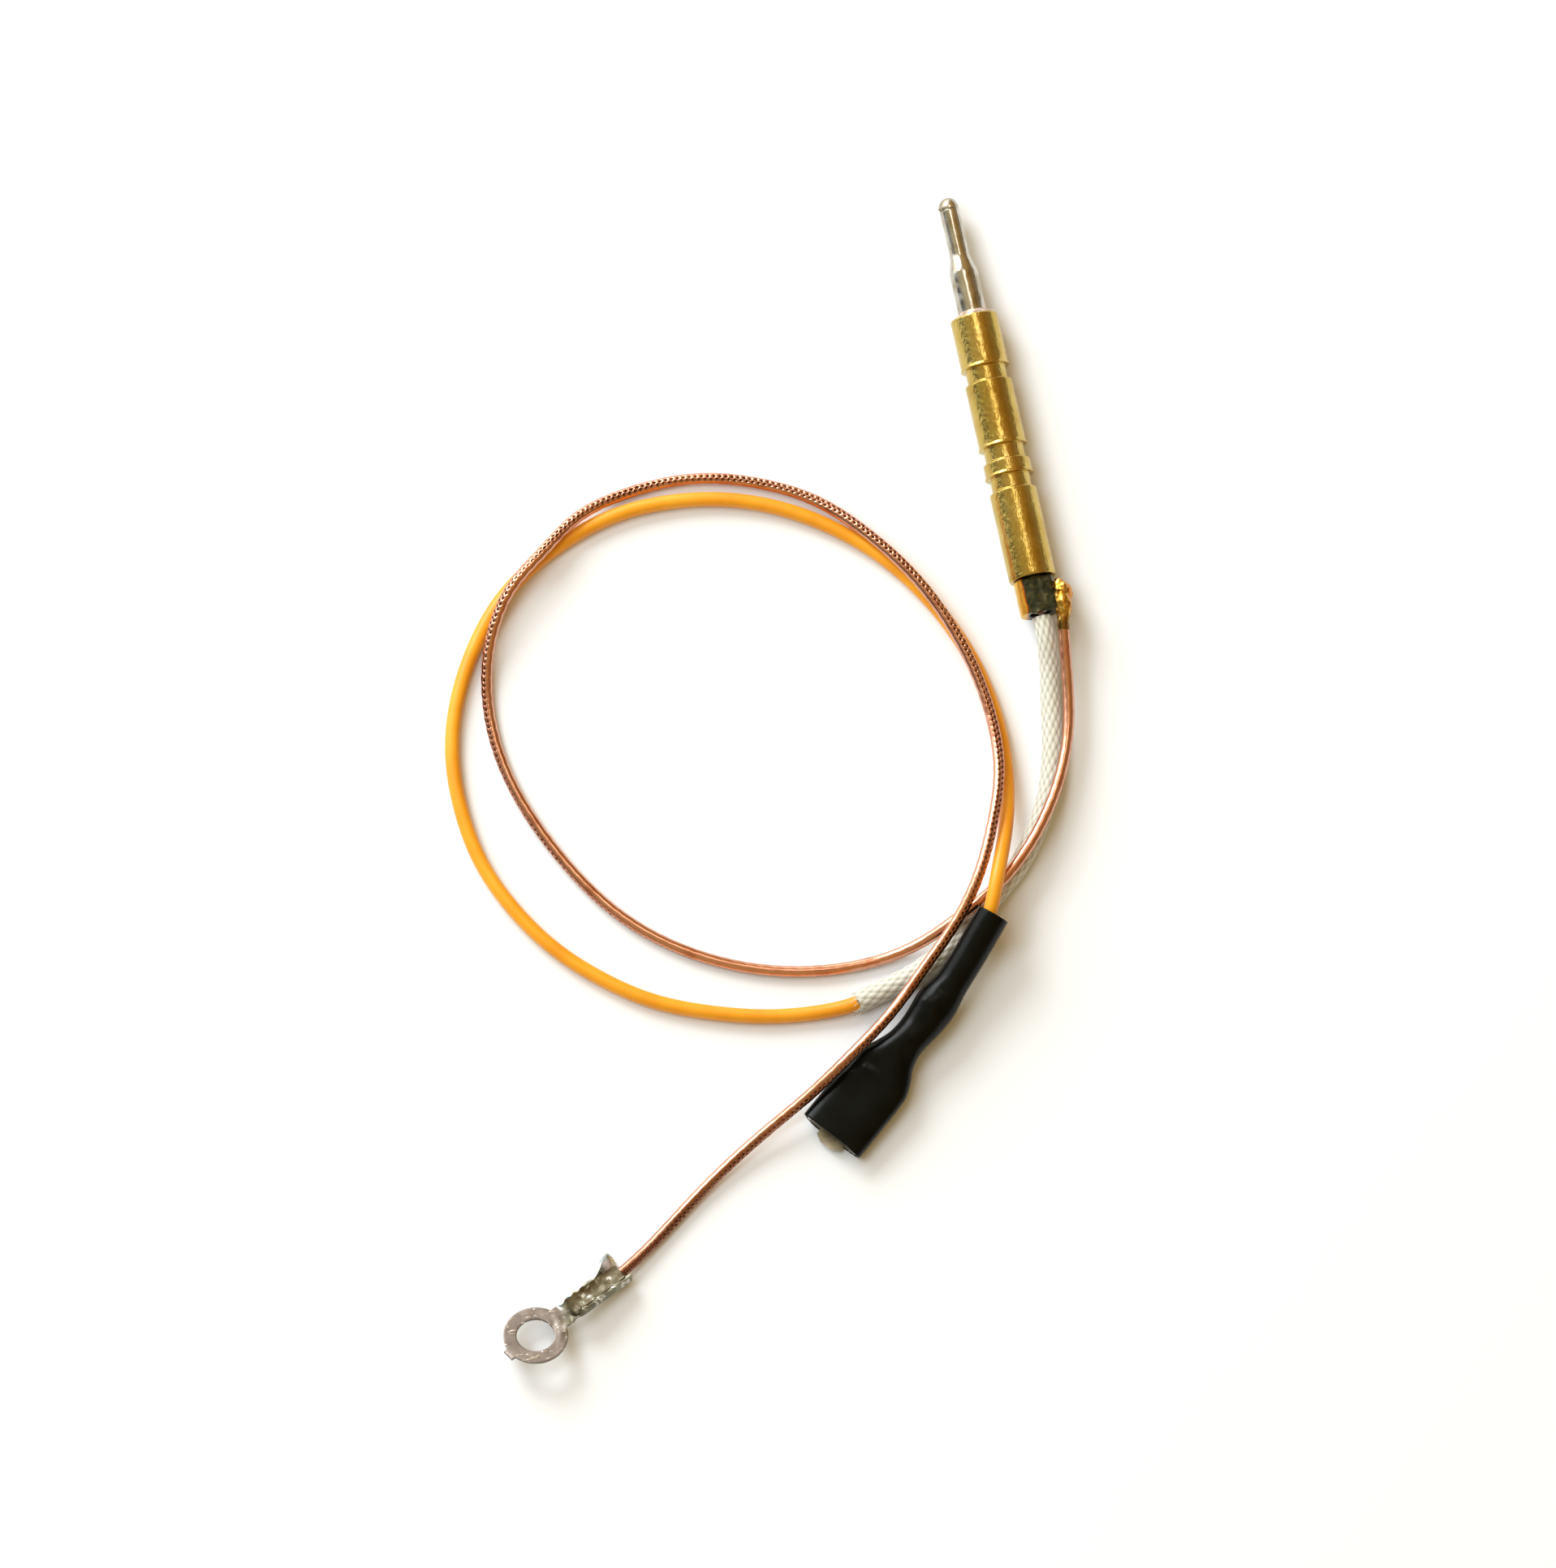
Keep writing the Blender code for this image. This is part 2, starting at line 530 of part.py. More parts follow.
def make_tail_ferrule(material):
    """Ferrule that closes the sleeve's tail, with a press flat on its upper side."""
    radius = FERRULE_DIAMETER / 2
    spigot = SLEEVE_BORE - GAP
    edge = 0.15 * MM
    profile = [
        (SPIGOT_END, FERRULE_BORE / 2), (SPIGOT_END, spigot), (FERRULE_FACE, spigot),
        (FERRULE_FACE, radius), (FERRULE_END + edge, radius), (FERRULE_END, radius - edge),
        (FERRULE_END, FERRULE_BORE / 2),
    ]
    ferrule = turned("tail_ferrule", profile, material)

    block = bmesh.new()
    bmesh.ops.create_cube(block, size=1.0)
    mesh = bpy.data.meshes.new("flat_cutter")
    block.to_mesh(mesh)
    block.free()
    cutter = bpy.data.objects.new("flat_cutter", mesh)
    bpy.context.scene.collection.objects.link(cutter)
    height = FERRULE_DIAMETER
    width = FERRULE_DIAMETER * 2
    length = FERRULE_LENGTH * 2
    scale = Matrix.Diagonal((width, length, height, 1.0))
    lift = radius - FLAT_DEPTH + height / 2
    mesh.transform(Matrix.Translation((0, FERRULE_FACE - length / 2, lift)) @ scale)
    cutter.rotation_euler = (0, math.radians(FLAT_TILT), 0)
    cutter.location = (0, 0, AXIS_HEIGHT)
    cut(ferrule, cutter)


def make_lead_braze(material):
    """Lump of braze that holds the copper lead on the ferrule's side."""
    work = bmesh.new()
    bmesh.ops.create_uvsphere(work, u_segments=20, v_segments=12, radius=1.0)
    work.transform(Matrix.Diagonal((*BRAZE_RADII, 1.0)))
    mesh = bpy.data.meshes.new("lead_braze")
    work.to_mesh(mesh)
    work.free()
    braze = add_object("lead_braze", mesh, material)
    reach = FERRULE_DIAMETER / 2 + BRAZE_STANDOFF
    angle = math.radians(BRAZE_ANGLE)
    braze.location = (
        reach * math.cos(angle),
        FERRULE_END + BRAZE_RADII[1],
        AXIS_HEIGHT + reach * math.sin(angle),
    )

    work = bmesh.new()
    bmesh.ops.create_cone(
        work, cap_ends=True, segments=ROUND_SEGMENTS, depth=FERRULE_LENGTH * 2,
        radius1=FERRULE_DIAMETER / 2 + GAP, radius2=FERRULE_DIAMETER / 2 + GAP,
    )
    work.transform(Matrix.Rotation(math.pi / 2, 4, "X"))
    mesh = bpy.data.meshes.new("ferrule_cutter")
    work.to_mesh(mesh)
    work.free()
    cutter = bpy.data.objects.new("ferrule_cutter", mesh)
    bpy.context.scene.collection.objects.link(cutter)
    cutter.location = (0, FERRULE_END + BRAZE_RADII[1], AXIS_HEIGHT)
    cut(braze, cutter)


# ---------------------------------------------------------------- leads
def make_leads(copper, fibre, yellow):
    """The bare lead, and the insulated lead with the woven sleeve over its first stretch."""
    cord("copper_lead", COPPER_ROUTE, COPPER_DIAMETER, COPPER_SPACING, copper)
    cord("fibreglass_sleeve", FIBRE_ROUTE, FIBRE_DIAMETER, FIBRE_SPACING, fibre)
    cord("yellow_lead", YELLOW_ROUTE, YELLOW_DIAMETER, YELLOW_SPACING, yellow)


# ---------------------------------------------------------------- heat-shrink tubing
def shrink_ring(centre, forward, distance, inset):
    """One ring of the tubing: a superellipse across the centre line, drawn in by the inset."""
    half_width, half_height, squareness = between(SHRINK_SECTIONS, distance)
    side = forward.cross(Vector((0, 0, 1))).normalized()
    up = side.cross(forward)
    ring = []
    for step in range(SHRINK_SIDES):
        angle = 2 * math.pi * step / SHRINK_SIDES
        across = math.copysign(abs(math.cos(angle)) ** (2 / squareness), math.cos(angle))
        lift = math.copysign(abs(math.sin(angle)) ** (2 / squareness), math.sin(angle))
        ring.append(
            centre + side * across * (half_width - inset) + up * lift * (half_height - inset)
        )
    return ring


def make_heat_shrink(material):
    """Heat-shrink tubing: round over the lead, flat and wide over the receptacle."""
    route = smooth_route(route_knots(SHRINK_ROUTE), 0.1 * MM)
    run = np.concatenate([[0.0], np.cumsum(np.linalg.norm(np.diff(route, axis=0), axis=1))])
    verts = []
    for inset in (0.0, SHRINK_WALL):
        for station in np.linspace(0.0, run[-1], SHRINK_RINGS):
            centre = Vector([np.interp(station, run, route[:, axis]) for axis in range(3)])
            near = int(np.clip(np.searchsorted(run, station), 1, len(route) - 2))
            forward = Vector(route[near + 1] - route[near - 1]).normalized()
            verts += shrink_ring(centre, forward, run[-1] - station, inset)
    faces = []
    inner = SHRINK_RINGS * SHRINK_SIDES
    for step in range(SHRINK_SIDES):
        after = (step + 1) % SHRINK_SIDES
        for ring in range(SHRINK_RINGS - 1):
            low = ring * SHRINK_SIDES
            high = low + SHRINK_SIDES
            faces.append((low + step, low + after, high + after, high + step))
            faces.append((inner + low + step, inner + high + step,
                          inner + high + after, inner + low + after))
        last = (SHRINK_RINGS - 1) * SHRINK_SIDES
        faces.append((step, inner + step, inner + after, after))
        faces.append((last + step, last + after, inner + last + after, inner + last + step))
    add_object("heat_shrink", mesh_from("heat_shrink", verts, faces), material)


# ---------------------------------------------------------------- spade receptacle
def make_spade_receptacle(material):
    """Receptacle rolled from one strip: tab slot, wire barrel and insulation barrel."""
    bend_steps = 7
    tab_half = TAB_WIDTH / 2
    verts = []
    distances = [row[0] for row in RECEPTACLE_SECTIONS]
    stations = []
    for near, far in zip(distances, distances[1:]):
        steps = max(1, round((far - near) / (1.3 * MM)))
        stations += [near + (far - near) * step / steps for step in range(steps)]
    stations.append(distances[-1])
    for station in stations:
        half_floor, radius, bend = between(RECEPTACLE_SECTIONS, station)
        columns = strip_columns(half_floor, radius, math.radians(bend), 0.0, bend_steps)
        share = min(1.0, tab_half / RECEPTACLE_SECTIONS[0][1])
        columns.insert(1, (half_floor * share, 0.0))
        verts += [(x, -station, z - radius) for x, z in mirrored(columns)]
    width = 2 * (bend_steps + 2) + 1
    faces = grid_faces(len(stations), width)

    floor_height = -RECEPTACLE_SECTIONS[0][2]
    middle = width // 2
    first = len(verts)
    tip_half = TAB_TIP_WIDTH / 2
    shoulder = TAB_LENGTH * 0.55
    for along, half in ((shoulder, tab_half), (TAB_LENGTH, tip_half)):
        verts += [(share * half, along, floor_height) for share in (-1, 0, 1)]
    faces.append((middle - 1, first, first + 1, middle))
    faces.append((middle, first + 1, first + 2, middle + 1))
    faces += grid_faces(2, 3, first)
    item = add_object("spade_receptacle", mesh_from("spade_receptacle", verts, faces), material)
    give_thickness(item, STRIP_THICKNESS)
    item.matrix_world = receptacle_frame()


def make_stripped_conductor(material):
    """Bare end of the insulated lead, gripped in the receptacle's wire barrel."""
    work = bmesh.new()
    bmesh.ops.create_cone(
        work, cap_ends=True, segments=16, depth=STRIPPED_END - STRIPPED_START,
        radius1=STRIPPED_DIAMETER / 2, radius2=STRIPPED_DIAMETER / 2,
    )
    work.transform(Matrix.Rotation(math.pi / 2, 4, "X"))
    work.transform(Matrix.Translation((0, -(STRIPPED_START + STRIPPED_END) / 2, 0)))
    mesh = bpy.data.meshes.new("stripped_conductor")
    work.to_mesh(mesh)
    work.free()
    item = add_object("stripped_conductor", mesh, material)
    item.matrix_world = receptacle_frame()


# ---------------------------------------------------------------- ring terminal
def place_at_ring(item):
    """Put a piece modelled about the eye's centre, with +Y towards the ring, in its place."""
    item.location = Vector(RING_CENTRE) + Vector(HARNESS_SHIFT)
    item.rotation_euler = [math.radians(a) for a in (RING_PITCH, RING_ROLL, RING_HEADING)]


def make_ring_terminal(material):
    """Ring terminal stamped from one plate: eye, carrier nub, neck and open barrel."""
    bend_steps = 4
    neck_columns = NECK_SEGMENTS + 1
    outer = RING_DIAMETER / 2
    verts = []
    for radius in (RING_HOLE / 2, outer):
        for step in range(RING_SEGMENTS):
            angle = -math.pi / 2 + 2 * math.pi * (step - NECK_SEGMENTS // 2) / RING_SEGMENTS
            verts.append((radius * math.cos(angle), radius * math.sin(angle), 0.0))
    faces = []
    for step in range(RING_SEGMENTS):
        after = (step + 1) % RING_SEGMENTS
        faces.append((step, step + RING_SEGMENTS, after + RING_SEGMENTS, after))

    half_neck = verts[RING_SEGMENTS + NECK_SEGMENTS][0]
    radius = (EYE_BARREL_WIDTH - PLATE_THICKNESS) / 2 - BARREL_FLOOR
    rows = []
    flat = [half_neck * (2 * step / NECK_SEGMENTS - 1) for step in range(neck_columns)]
    rows.append([(x, -NECK_END, 0.0) for x in flat])
    stations = 9
    for row in range(1, stations + 1):
        along = NECK_END + (BARREL_END - NECK_END) * row / stations
        share = min(1.0, (along - NECK_END) / (BARREL_START - NECK_END))
        bend = math.pi / 2 * share
        wing = BARREL_WING * share + half_neck * 0.2 * (1 - share)
        columns = strip_columns(BARREL_FLOOR, radius, bend, wing, bend_steps)
        section = mirrored(columns)
        flare = max(0.0, (along - BARREL_END) / (BARREL_START - NECK_END) / 2 + 1.0)
        edge_x, edge_z = section[-1]
        section[-1] = (edge_x + WING_FLARE * flare**2, edge_z + WING_FLARE * flare**2 * 0.4)
        rows.append([(x - BARREL_SET * share, -along, z) for x, z in section])
    first = len(verts)
    for row in rows:
        verts += row
    for column in range(NECK_SEGMENTS):
        faces.append((RING_SEGMENTS + column, first + column,
                      first + column + 1, RING_SEGMENTS + column + 1))
    faces += grid_faces(len(rows), neck_columns, first)

    nub_first = RING_SEGMENTS + NECK_SEGMENTS // 2 + RING_SEGMENTS // 2 - NUB_SEGMENTS // 2
    first = len(verts)
    for step in range(NUB_SEGMENTS + 1):
        x = verts[nub_first + step][0]
        verts.append((x, outer + NUB_LENGTH, 0.0))
    for step in range(NUB_SEGMENTS):
        near = nub_first + step
        faces.append((near, near + 1, first + step + 1, first + step))
    item = add_object("ring_terminal", mesh_from("ring_terminal", verts, faces), material)
    give_thickness(item, PLATE_THICKNESS)
    place_at_ring(item)


def make_ring_solder(material):
    """Solder that fills the ring terminal's barrel behind the end of the copper lead."""
    width = EYE_BARREL_WIDTH - 2 * PLATE_THICKNESS - 2 * GAP
    length = SOLDER_END - SOLDER_START
    floor = PLATE_THICKNESS / 2 + GAP
    work = bmesh.new()
    bmesh.ops.create_cube(work, size=1.0)
    work.transform(Matrix.Diagonal((width, length, SOLDER_HEIGHT, 1.0)))
    work.transform(Matrix.Translation(
        (-BARREL_SET, -(SOLDER_START + SOLDER_END) / 2, floor + SOLDER_HEIGHT / 2)))
    mesh = bpy.data.meshes.new("ring_solder")
    work.to_mesh(mesh)
    work.free()
    item = add_object("ring_solder", mesh, material)
    rounding = item.modifiers.new("rounding", "BEVEL")
    rounding.width = width * 0.42
    rounding.segments = 4
    rounding.limit_method = "NONE"
    place_at_ring(item)


def main():
    """Make the finishes, then every piece from the tip back to the two terminals."""
    clear_scene()
    steel = finish("sheath_steel", (0.62, 0.60, 0.55), 0.22, 1.0)
    weld = finish("weld_bead", (0.66, 0.63, 0.57), 0.28, 1.0)
    constantan = finish("constantan", (0.60, 0.50, 0.38), 0.35, 1.0)
    ceramic = finish("ceramic_fibre", (0.86, 0.84, 0.78), 0.9)
    silver_braze = finish("silver_braze", (0.85, 0.74, 0.66), 0.35, 1.0)
    brass = finish("yellow_brass", (0.78, 0.57, 0.16), 0.2, 1.0)
    ferrule_steel = finish("ferrule_steel", (0.30, 0.31, 0.26), 0.4, 1.0)
    gold_braze = finish("gold_braze", (0.78, 0.56, 0.20), 0.35, 1.0)
    copper = finish("bright_copper", (0.80, 0.45, 0.30), 0.25, 1.0)
    fibre = finish("woven_glass_fibre", (0.88, 0.87, 0.83), 0.85)
    yellow = finish("yellow_insulation", (0.85, 0.48, 0.08), 0.4)
    tubing = finish("black_tubing", (0.012, 0.013, 0.013), 0.35)
    tinned_brass = finish("tinned_brass", (0.62, 0.58, 0.52), 0.3, 1.0)
    tinned_copper = finish("tinned_copper", (0.60, 0.52, 0.47), 0.4, 1.0)
    solder = finish("soft_solder", (0.42, 0.36, 0.25), 0.35, 1.0)

    make_tip_weld_cap(weld)
    make_probe_sheath(steel)
    make_element_wire(constantan)
    make_body_insulator(ceramic)
    make_probe_braze_ring(silver_braze)
    make_mounting_sleeve(brass)
    make_conductor_splice(tinned_brass)
    make_inner_conductor(copper)
    make_rear_insulator(ceramic)
    make_tail_bush(ceramic)
    make_tail_ferrule(ferrule_steel)
    make_lead_braze(gold_braze)
    make_leads(copper, fibre, yellow)
    make_heat_shrink(tubing)
    make_spade_receptacle(tinned_brass)
    make_stripped_conductor(copper)
    make_ring_terminal(tinned_copper)
    make_ring_solder(solder)


main()
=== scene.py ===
# %% [markdown]
# # A split-lead thermocouple
# A gas heater's thermocouple is a steel probe in a brass sleeve, with two leads behind it. This
# lesson gives a plain engineering model its looks: each piece's surface is computed with numpy,
# and each finish is built from shader nodes. It starts by loading the engineering model, which
# fixes every size and place. Lengths in the functions below are in millimetres.

# %% Load the engineering model
import math

import bpy
import numpy as np
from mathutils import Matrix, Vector


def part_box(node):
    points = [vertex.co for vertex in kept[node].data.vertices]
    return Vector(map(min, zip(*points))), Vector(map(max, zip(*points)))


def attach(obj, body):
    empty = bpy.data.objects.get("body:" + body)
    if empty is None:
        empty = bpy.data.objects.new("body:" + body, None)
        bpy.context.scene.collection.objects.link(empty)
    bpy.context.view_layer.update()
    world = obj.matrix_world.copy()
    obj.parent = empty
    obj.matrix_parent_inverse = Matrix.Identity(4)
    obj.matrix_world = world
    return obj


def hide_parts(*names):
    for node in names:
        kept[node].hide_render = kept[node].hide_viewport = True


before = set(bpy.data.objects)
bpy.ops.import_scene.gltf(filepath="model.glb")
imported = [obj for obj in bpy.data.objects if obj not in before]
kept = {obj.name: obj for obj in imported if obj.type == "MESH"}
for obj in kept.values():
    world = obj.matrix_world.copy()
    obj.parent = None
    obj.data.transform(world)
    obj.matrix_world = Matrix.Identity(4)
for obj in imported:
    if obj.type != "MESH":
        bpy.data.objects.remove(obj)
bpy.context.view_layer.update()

MM = 0.001


def box_mm(node):
    """Lowest and highest corner of an engineering piece, in millimetres."""
    low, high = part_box(node)
    return np.array(low) / MM, np.array(high) / MM


sleeve_low, sleeve_high = box_mm("mounting_sleeve")
sheath_low, sheath_high = box_mm("probe_sheath")
ferrule_low, ferrule_high = box_mm("tail_ferrule")
cap_low, cap_high = box_mm("tip_weld_cap")
AXIS_HEIGHT = (sheath_low[2] + sheath_high[2]) / 2
MOUTH = sleeve_high[1]
TAIL = sleeve_low[1]
print("sleeve from", TAIL, "to", MOUTH, "mm, axis", AXIS_HEIGHT, "mm high")

# %% [markdown]
# ## Camera
# The object lies flat and is seen from nearly above. An orthographic camera, which shows
# distances without perspective, is the plainest choice for such a flat object and keeps its
# proportions true. Its place is given by a direction and an aim point on the surface.

# %% Place the camera
VIEW_AZIMUTH = math.radians(-12.4)
VIEW_ELEVATION = math.radians(76.0)
AIM_POINT = Vector((-36.1 * MM, -40.4 * MM, 0.0))
VIEW_SIZE = 0.1932
CAMERA_DISTANCE = 1.2

camera_data = bpy.data.cameras.new("camera")
camera_data.type = "ORTHO"
camera_data.ortho_scale = VIEW_SIZE
camera = bpy.data.objects.new("camera", camera_data)
bpy.context.scene.collection.objects.link(camera)
towards_camera = Vector((
    math.sin(VIEW_AZIMUTH) * math.cos(VIEW_ELEVATION),
    -math.cos(VIEW_AZIMUTH) * math.cos(VIEW_ELEVATION),
    math.sin(VIEW_ELEVATION),
))
camera.location = AIM_POINT + towards_camera * CAMERA_DISTANCE
camera.rotation_mode = "QUATERNION"
camera.rotation_quaternion = (-towards_camera).to_track_quat("-Z", "Y")
bpy.context.scene.camera = camera
print("camera at", tuple(round(value, 3) for value in camera.location))

# %% [markdown]
# ## Studio
# Polished metal shows its surroundings, so the room matters more than the lamps do. The sky of
# this studio is dark at the horizon, cool on one side and warm on the other, which gives round
# metal its dark and warm bands. A narrow lamp overhead draws the bright line along the brass,
# and a wide one on the left gives the copper its highlight and the black tubing its sheen. A
# third lamp lifts the shadows and is kept out of reflections. The floor is plain and pale.

# %% Build the studio
FLOOR_DROP = 0.05
FLOOR_HALF_SIDE = 1.5
FLOOR_COLOUR = (0.84, 0.86, 0.89)
WINDOW_DIRECTION = (-0.468, 0.884, 0.0)
SKY_STRENGTH = 1.1
scene = bpy.context.scene
scene.view_settings.view_transform = "Standard"


def ramp(nodes, stops, smooth=True):
    """A colour ramp node with (place, (red, green, blue)) stops."""
    node = nodes.new("ShaderNodeValToRGB")
    node.color_ramp.interpolation = "EASE" if smooth else "LINEAR"
    while len(node.color_ramp.elements) < len(stops):
        node.color_ramp.elements.new(0.5)
    for element, (place, colour) in zip(node.color_ramp.elements, stops):
        element.position = place
        element.color = (*colour, 1.0)
    return node


def make_sky():
    """A sky whose colour depends on the direction: sideways from cool to warm, and upwards
    from a dark horizon to a light zenith. The two colours are multiplied, and a broad bright
    window is added far on the left."""
    world = bpy.data.worlds.new("studio")
    world.use_nodes = True
    nodes, links = world.node_tree.nodes, world.node_tree.links
    direction = nodes.new("ShaderNodeTexCoord")
    split = nodes.new("ShaderNodeSeparateXYZ")
    sideways = nodes.new("ShaderNodeMapRange")
    sideways.inputs["From Min"].default_value = -1.0
    across = ramp(nodes, [
        (0.0, (0.10, 0.10, 0.09)), (0.035, (0.06, 0.06, 0.05)), (0.08, (0.26, 0.25, 0.22)),
        (0.15, (0.48, 0.42, 0.27)), (0.38, (0.54, 0.43, 0.22)), (0.69, (0.52, 0.32, 0.10)),
        (0.88, (0.30, 0.18, 0.06)), (1.0, (0.36, 0.31, 0.22)),
    ])
    upward = ramp(nodes, [(0.0, (0.35, 0.35, 0.35)), (0.25, (1.0, 1.0, 1.0))])
    towards_window = nodes.new("ShaderNodeVectorMath")
    towards_window.operation = "DOT_PRODUCT"
    towards_window.inputs[1].default_value = WINDOW_DIRECTION
    window = ramp(nodes, [(0.62, (0.0, 0.0, 0.0)), (0.78, (1.9, 2.0, 2.05))])
    product, total = (nodes.new("ShaderNodeMix") for _ in range(2))
    for mix, blend in ((product, "MULTIPLY"), (total, "ADD")):
        mix.data_type = "RGBA"
        mix.blend_type = blend
        mix.inputs["Factor"].default_value = 1.0
    links.new(direction.outputs["Generated"], split.inputs[0])
    links.new(split.outputs["X"], sideways.inputs["Value"])
    links.new(sideways.outputs[0], across.inputs[0])
    links.new(split.outputs["Z"], upward.inputs[0])
    links.new(across.outputs[0], product.inputs["A"])
    links.new(upward.outputs[0], product.inputs["B"])
    links.new(direction.outputs["Generated"], towards_window.inputs[0])
    links.new(towards_window.outputs["Value"], window.inputs[0])
    links.new(product.outputs["Result"], total.inputs["A"])
    links.new(window.outputs[0], total.inputs["B"])
    background = nodes["Background"]
    background.inputs["Strength"].default_value = SKY_STRENGTH
    links.new(total.outputs["Result"], background.inputs["Color"])
    scene.world = world


def add_lamp(name, place, size, power, colour, reflected=True):
    """An area lamp that faces the object and isn't seen by the camera."""
    lamp_data = bpy.data.lights.new(name, "AREA")
    lamp_data.shape = "RECTANGLE"
    lamp_data.size, lamp_data.size_y = size
    lamp_data.energy = power
    lamp_data.color = colour
    lamp = bpy.data.objects.new(name, lamp_data)
    lamp.location = AIM_POINT + Vector(place)
    lamp.rotation_mode = "QUATERNION"
    lamp.rotation_quaternion = (-Vector(place)).to_track_quat("-Z", "Y")
    lamp.visible_camera = False
    lamp.visible_glossy = reflected
    scene.collection.objects.link(lamp)


def make_floor():
    """A pale floor, a little under the object."""
    side = FLOOR_HALF_SIDE
    mesh = bpy.data.meshes.new("floor")
    height = -FLOOR_DROP * MM
    mesh.from_pydata(
        [(x * side, y * side, height) for x, y in ((-1, -1), (1, -1), (1, 1), (-1, 1))],
        [], [(0, 1, 2, 3)],
    )
    floor = bpy.data.objects.new("floor", mesh)
    scene.collection.objects.link(floor)
    material = bpy.data.materials.new("pale_floor")
    material.use_nodes = True
    shader = material.node_tree.nodes["Principled BSDF"]
    shader.inputs["Base Color"].default_value = (*FLOOR_COLOUR, 1.0)
    shader.inputs["Roughness"].default_value = 0.9
    shader.inputs["Specular IOR Level"].default_value = 0.1
    mesh.materials.append(material)


make_sky()
make_floor()
add_lamp("overhead_lamp", (0.10, 0.365, 1.0), (0.22, 0.30), 0.62, (1.0, 0.98, 0.94))
add_lamp("left_lamp", (-0.37, 0.80, 0.68), (0.5, 0.5), 8.0, (0.90, 0.97, 1.0))
add_lamp("fill_lamp", (-0.5, 0.1, 1.25), (0.8, 0.8), 8.5, (0.74, 0.86, 1.0), reflected=False)
print("studio ready")

# %% [markdown]
# ## Surfaces
# Every piece here is a grid of points: rings along the piece, and sides round each ring. A tube
# follows a path, and a turned piece follows its profile. One function turns such a grid into a
# closed mesh, and stores where each point lies, so that a finish can follow the surface.

# %% Grid to mesh
def put_surface(name, grid, closed_along=False, ends=(None, None), lay=None, marks=None):
    """A mesh object from a (rings, sides, 3) grid in millimetres whose rings are closed.

    Quads join neighbouring rings, and closed_along joins the last ring to the first. The ends
    are points that close the first and the last ring with a fan. All faces are turned over if
    the volume that they enclose comes out negative. lay holds the distance along for each ring
    and round for each side, marks a value for each point, and both are in millimetres.
    """
    rings, sides = grid.shape[:2]
    spans = rings if closed_along else rings - 1
    ring = np.arange(spans)[:, None]
    side = np.arange(sides)[None, :]
    next_ring, next_side = (ring + 1) % rings, (side + 1) % sides
    corners = [
        ring * sides + side, ring * sides + next_side,
        next_ring * sides + next_side, next_ring * sides + side,
    ]
    quads = np.stack(corners, axis=-1).reshape(-1, 4)
    points = grid.reshape(-1, 3)
    poles = [end for end in ends if end is not None]
    fans = []
    if poles:
        start, stop = len(points), len(points) + 1
        points = np.vstack([points, ends])
        first, last = side[0], side[0] + (rings - 1) * sides
        fans += np.stack([np.full(sides, start), np.roll(first, -1), first], -1).tolist()
        fans += np.stack([np.full(sides, stop), last, np.roll(last, -1)], -1).tolist()
    a, b, c, d = (points[quads[:, corner]] for corner in range(4))
    volume = np.sum(a * np.cross(b, c)) + np.sum(a * np.cross(c, d))
    for one, two, three in fans:
        volume += points[one] @ np.cross(points[two], points[three])
    step = 1 if volume > 0 else -1
    faces = quads[:, ::step].tolist() + [fan[::step] for fan in fans]
    mesh = bpy.data.meshes.new(name)
    mesh.from_pydata((points * MM).tolist(), [], faces)
    if lay is not None:
        along, around = lay
        u = np.stack([along[ring + offset] + 0 * side for offset in (0, 0, 1, 1)], -1)
        v = np.stack([around[side + offset] + 0 * ring for offset in (0, 1, 1, 0)], -1)
        uv = np.stack([u, v], -1).reshape(-1, 4, 2)[:, ::step].reshape(-1, 2)
        uv = np.vstack([uv, np.zeros((3 * len(fans), 2))])
        mesh.uv_layers.new(name="lay").data.foreach_set("uv", uv.ravel())
    if marks is not None:
        values = np.concatenate([np.asarray(marks).ravel(), np.zeros(len(poles))])
        layer = mesh.attributes.new("marks", "FLOAT", "POINT")
        layer.data.foreach_set("value", values.astype(np.float32))
    mesh.shade_smooth()
    item = bpy.data.objects.new(name, mesh)
    scene.collection.objects.link(item)
    print(name, len(points), "points,", len(faces), "faces")
    return item


def belongs(item, slot, *nodes):
    """The piece moves with the object and stands for these engineering pieces. The slot is not
    used."""
    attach(item, "root")
    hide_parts(*nodes)
    return item


print("surface helpers ready")

# %% [markdown]
# ## Paths
# A lead lies on a smooth curve through a few given points. The curve is the natural
# cubic spline, which bends as little as it can, as a springy wire does.

# %% Path helpers
FINE_STEPS = 12001


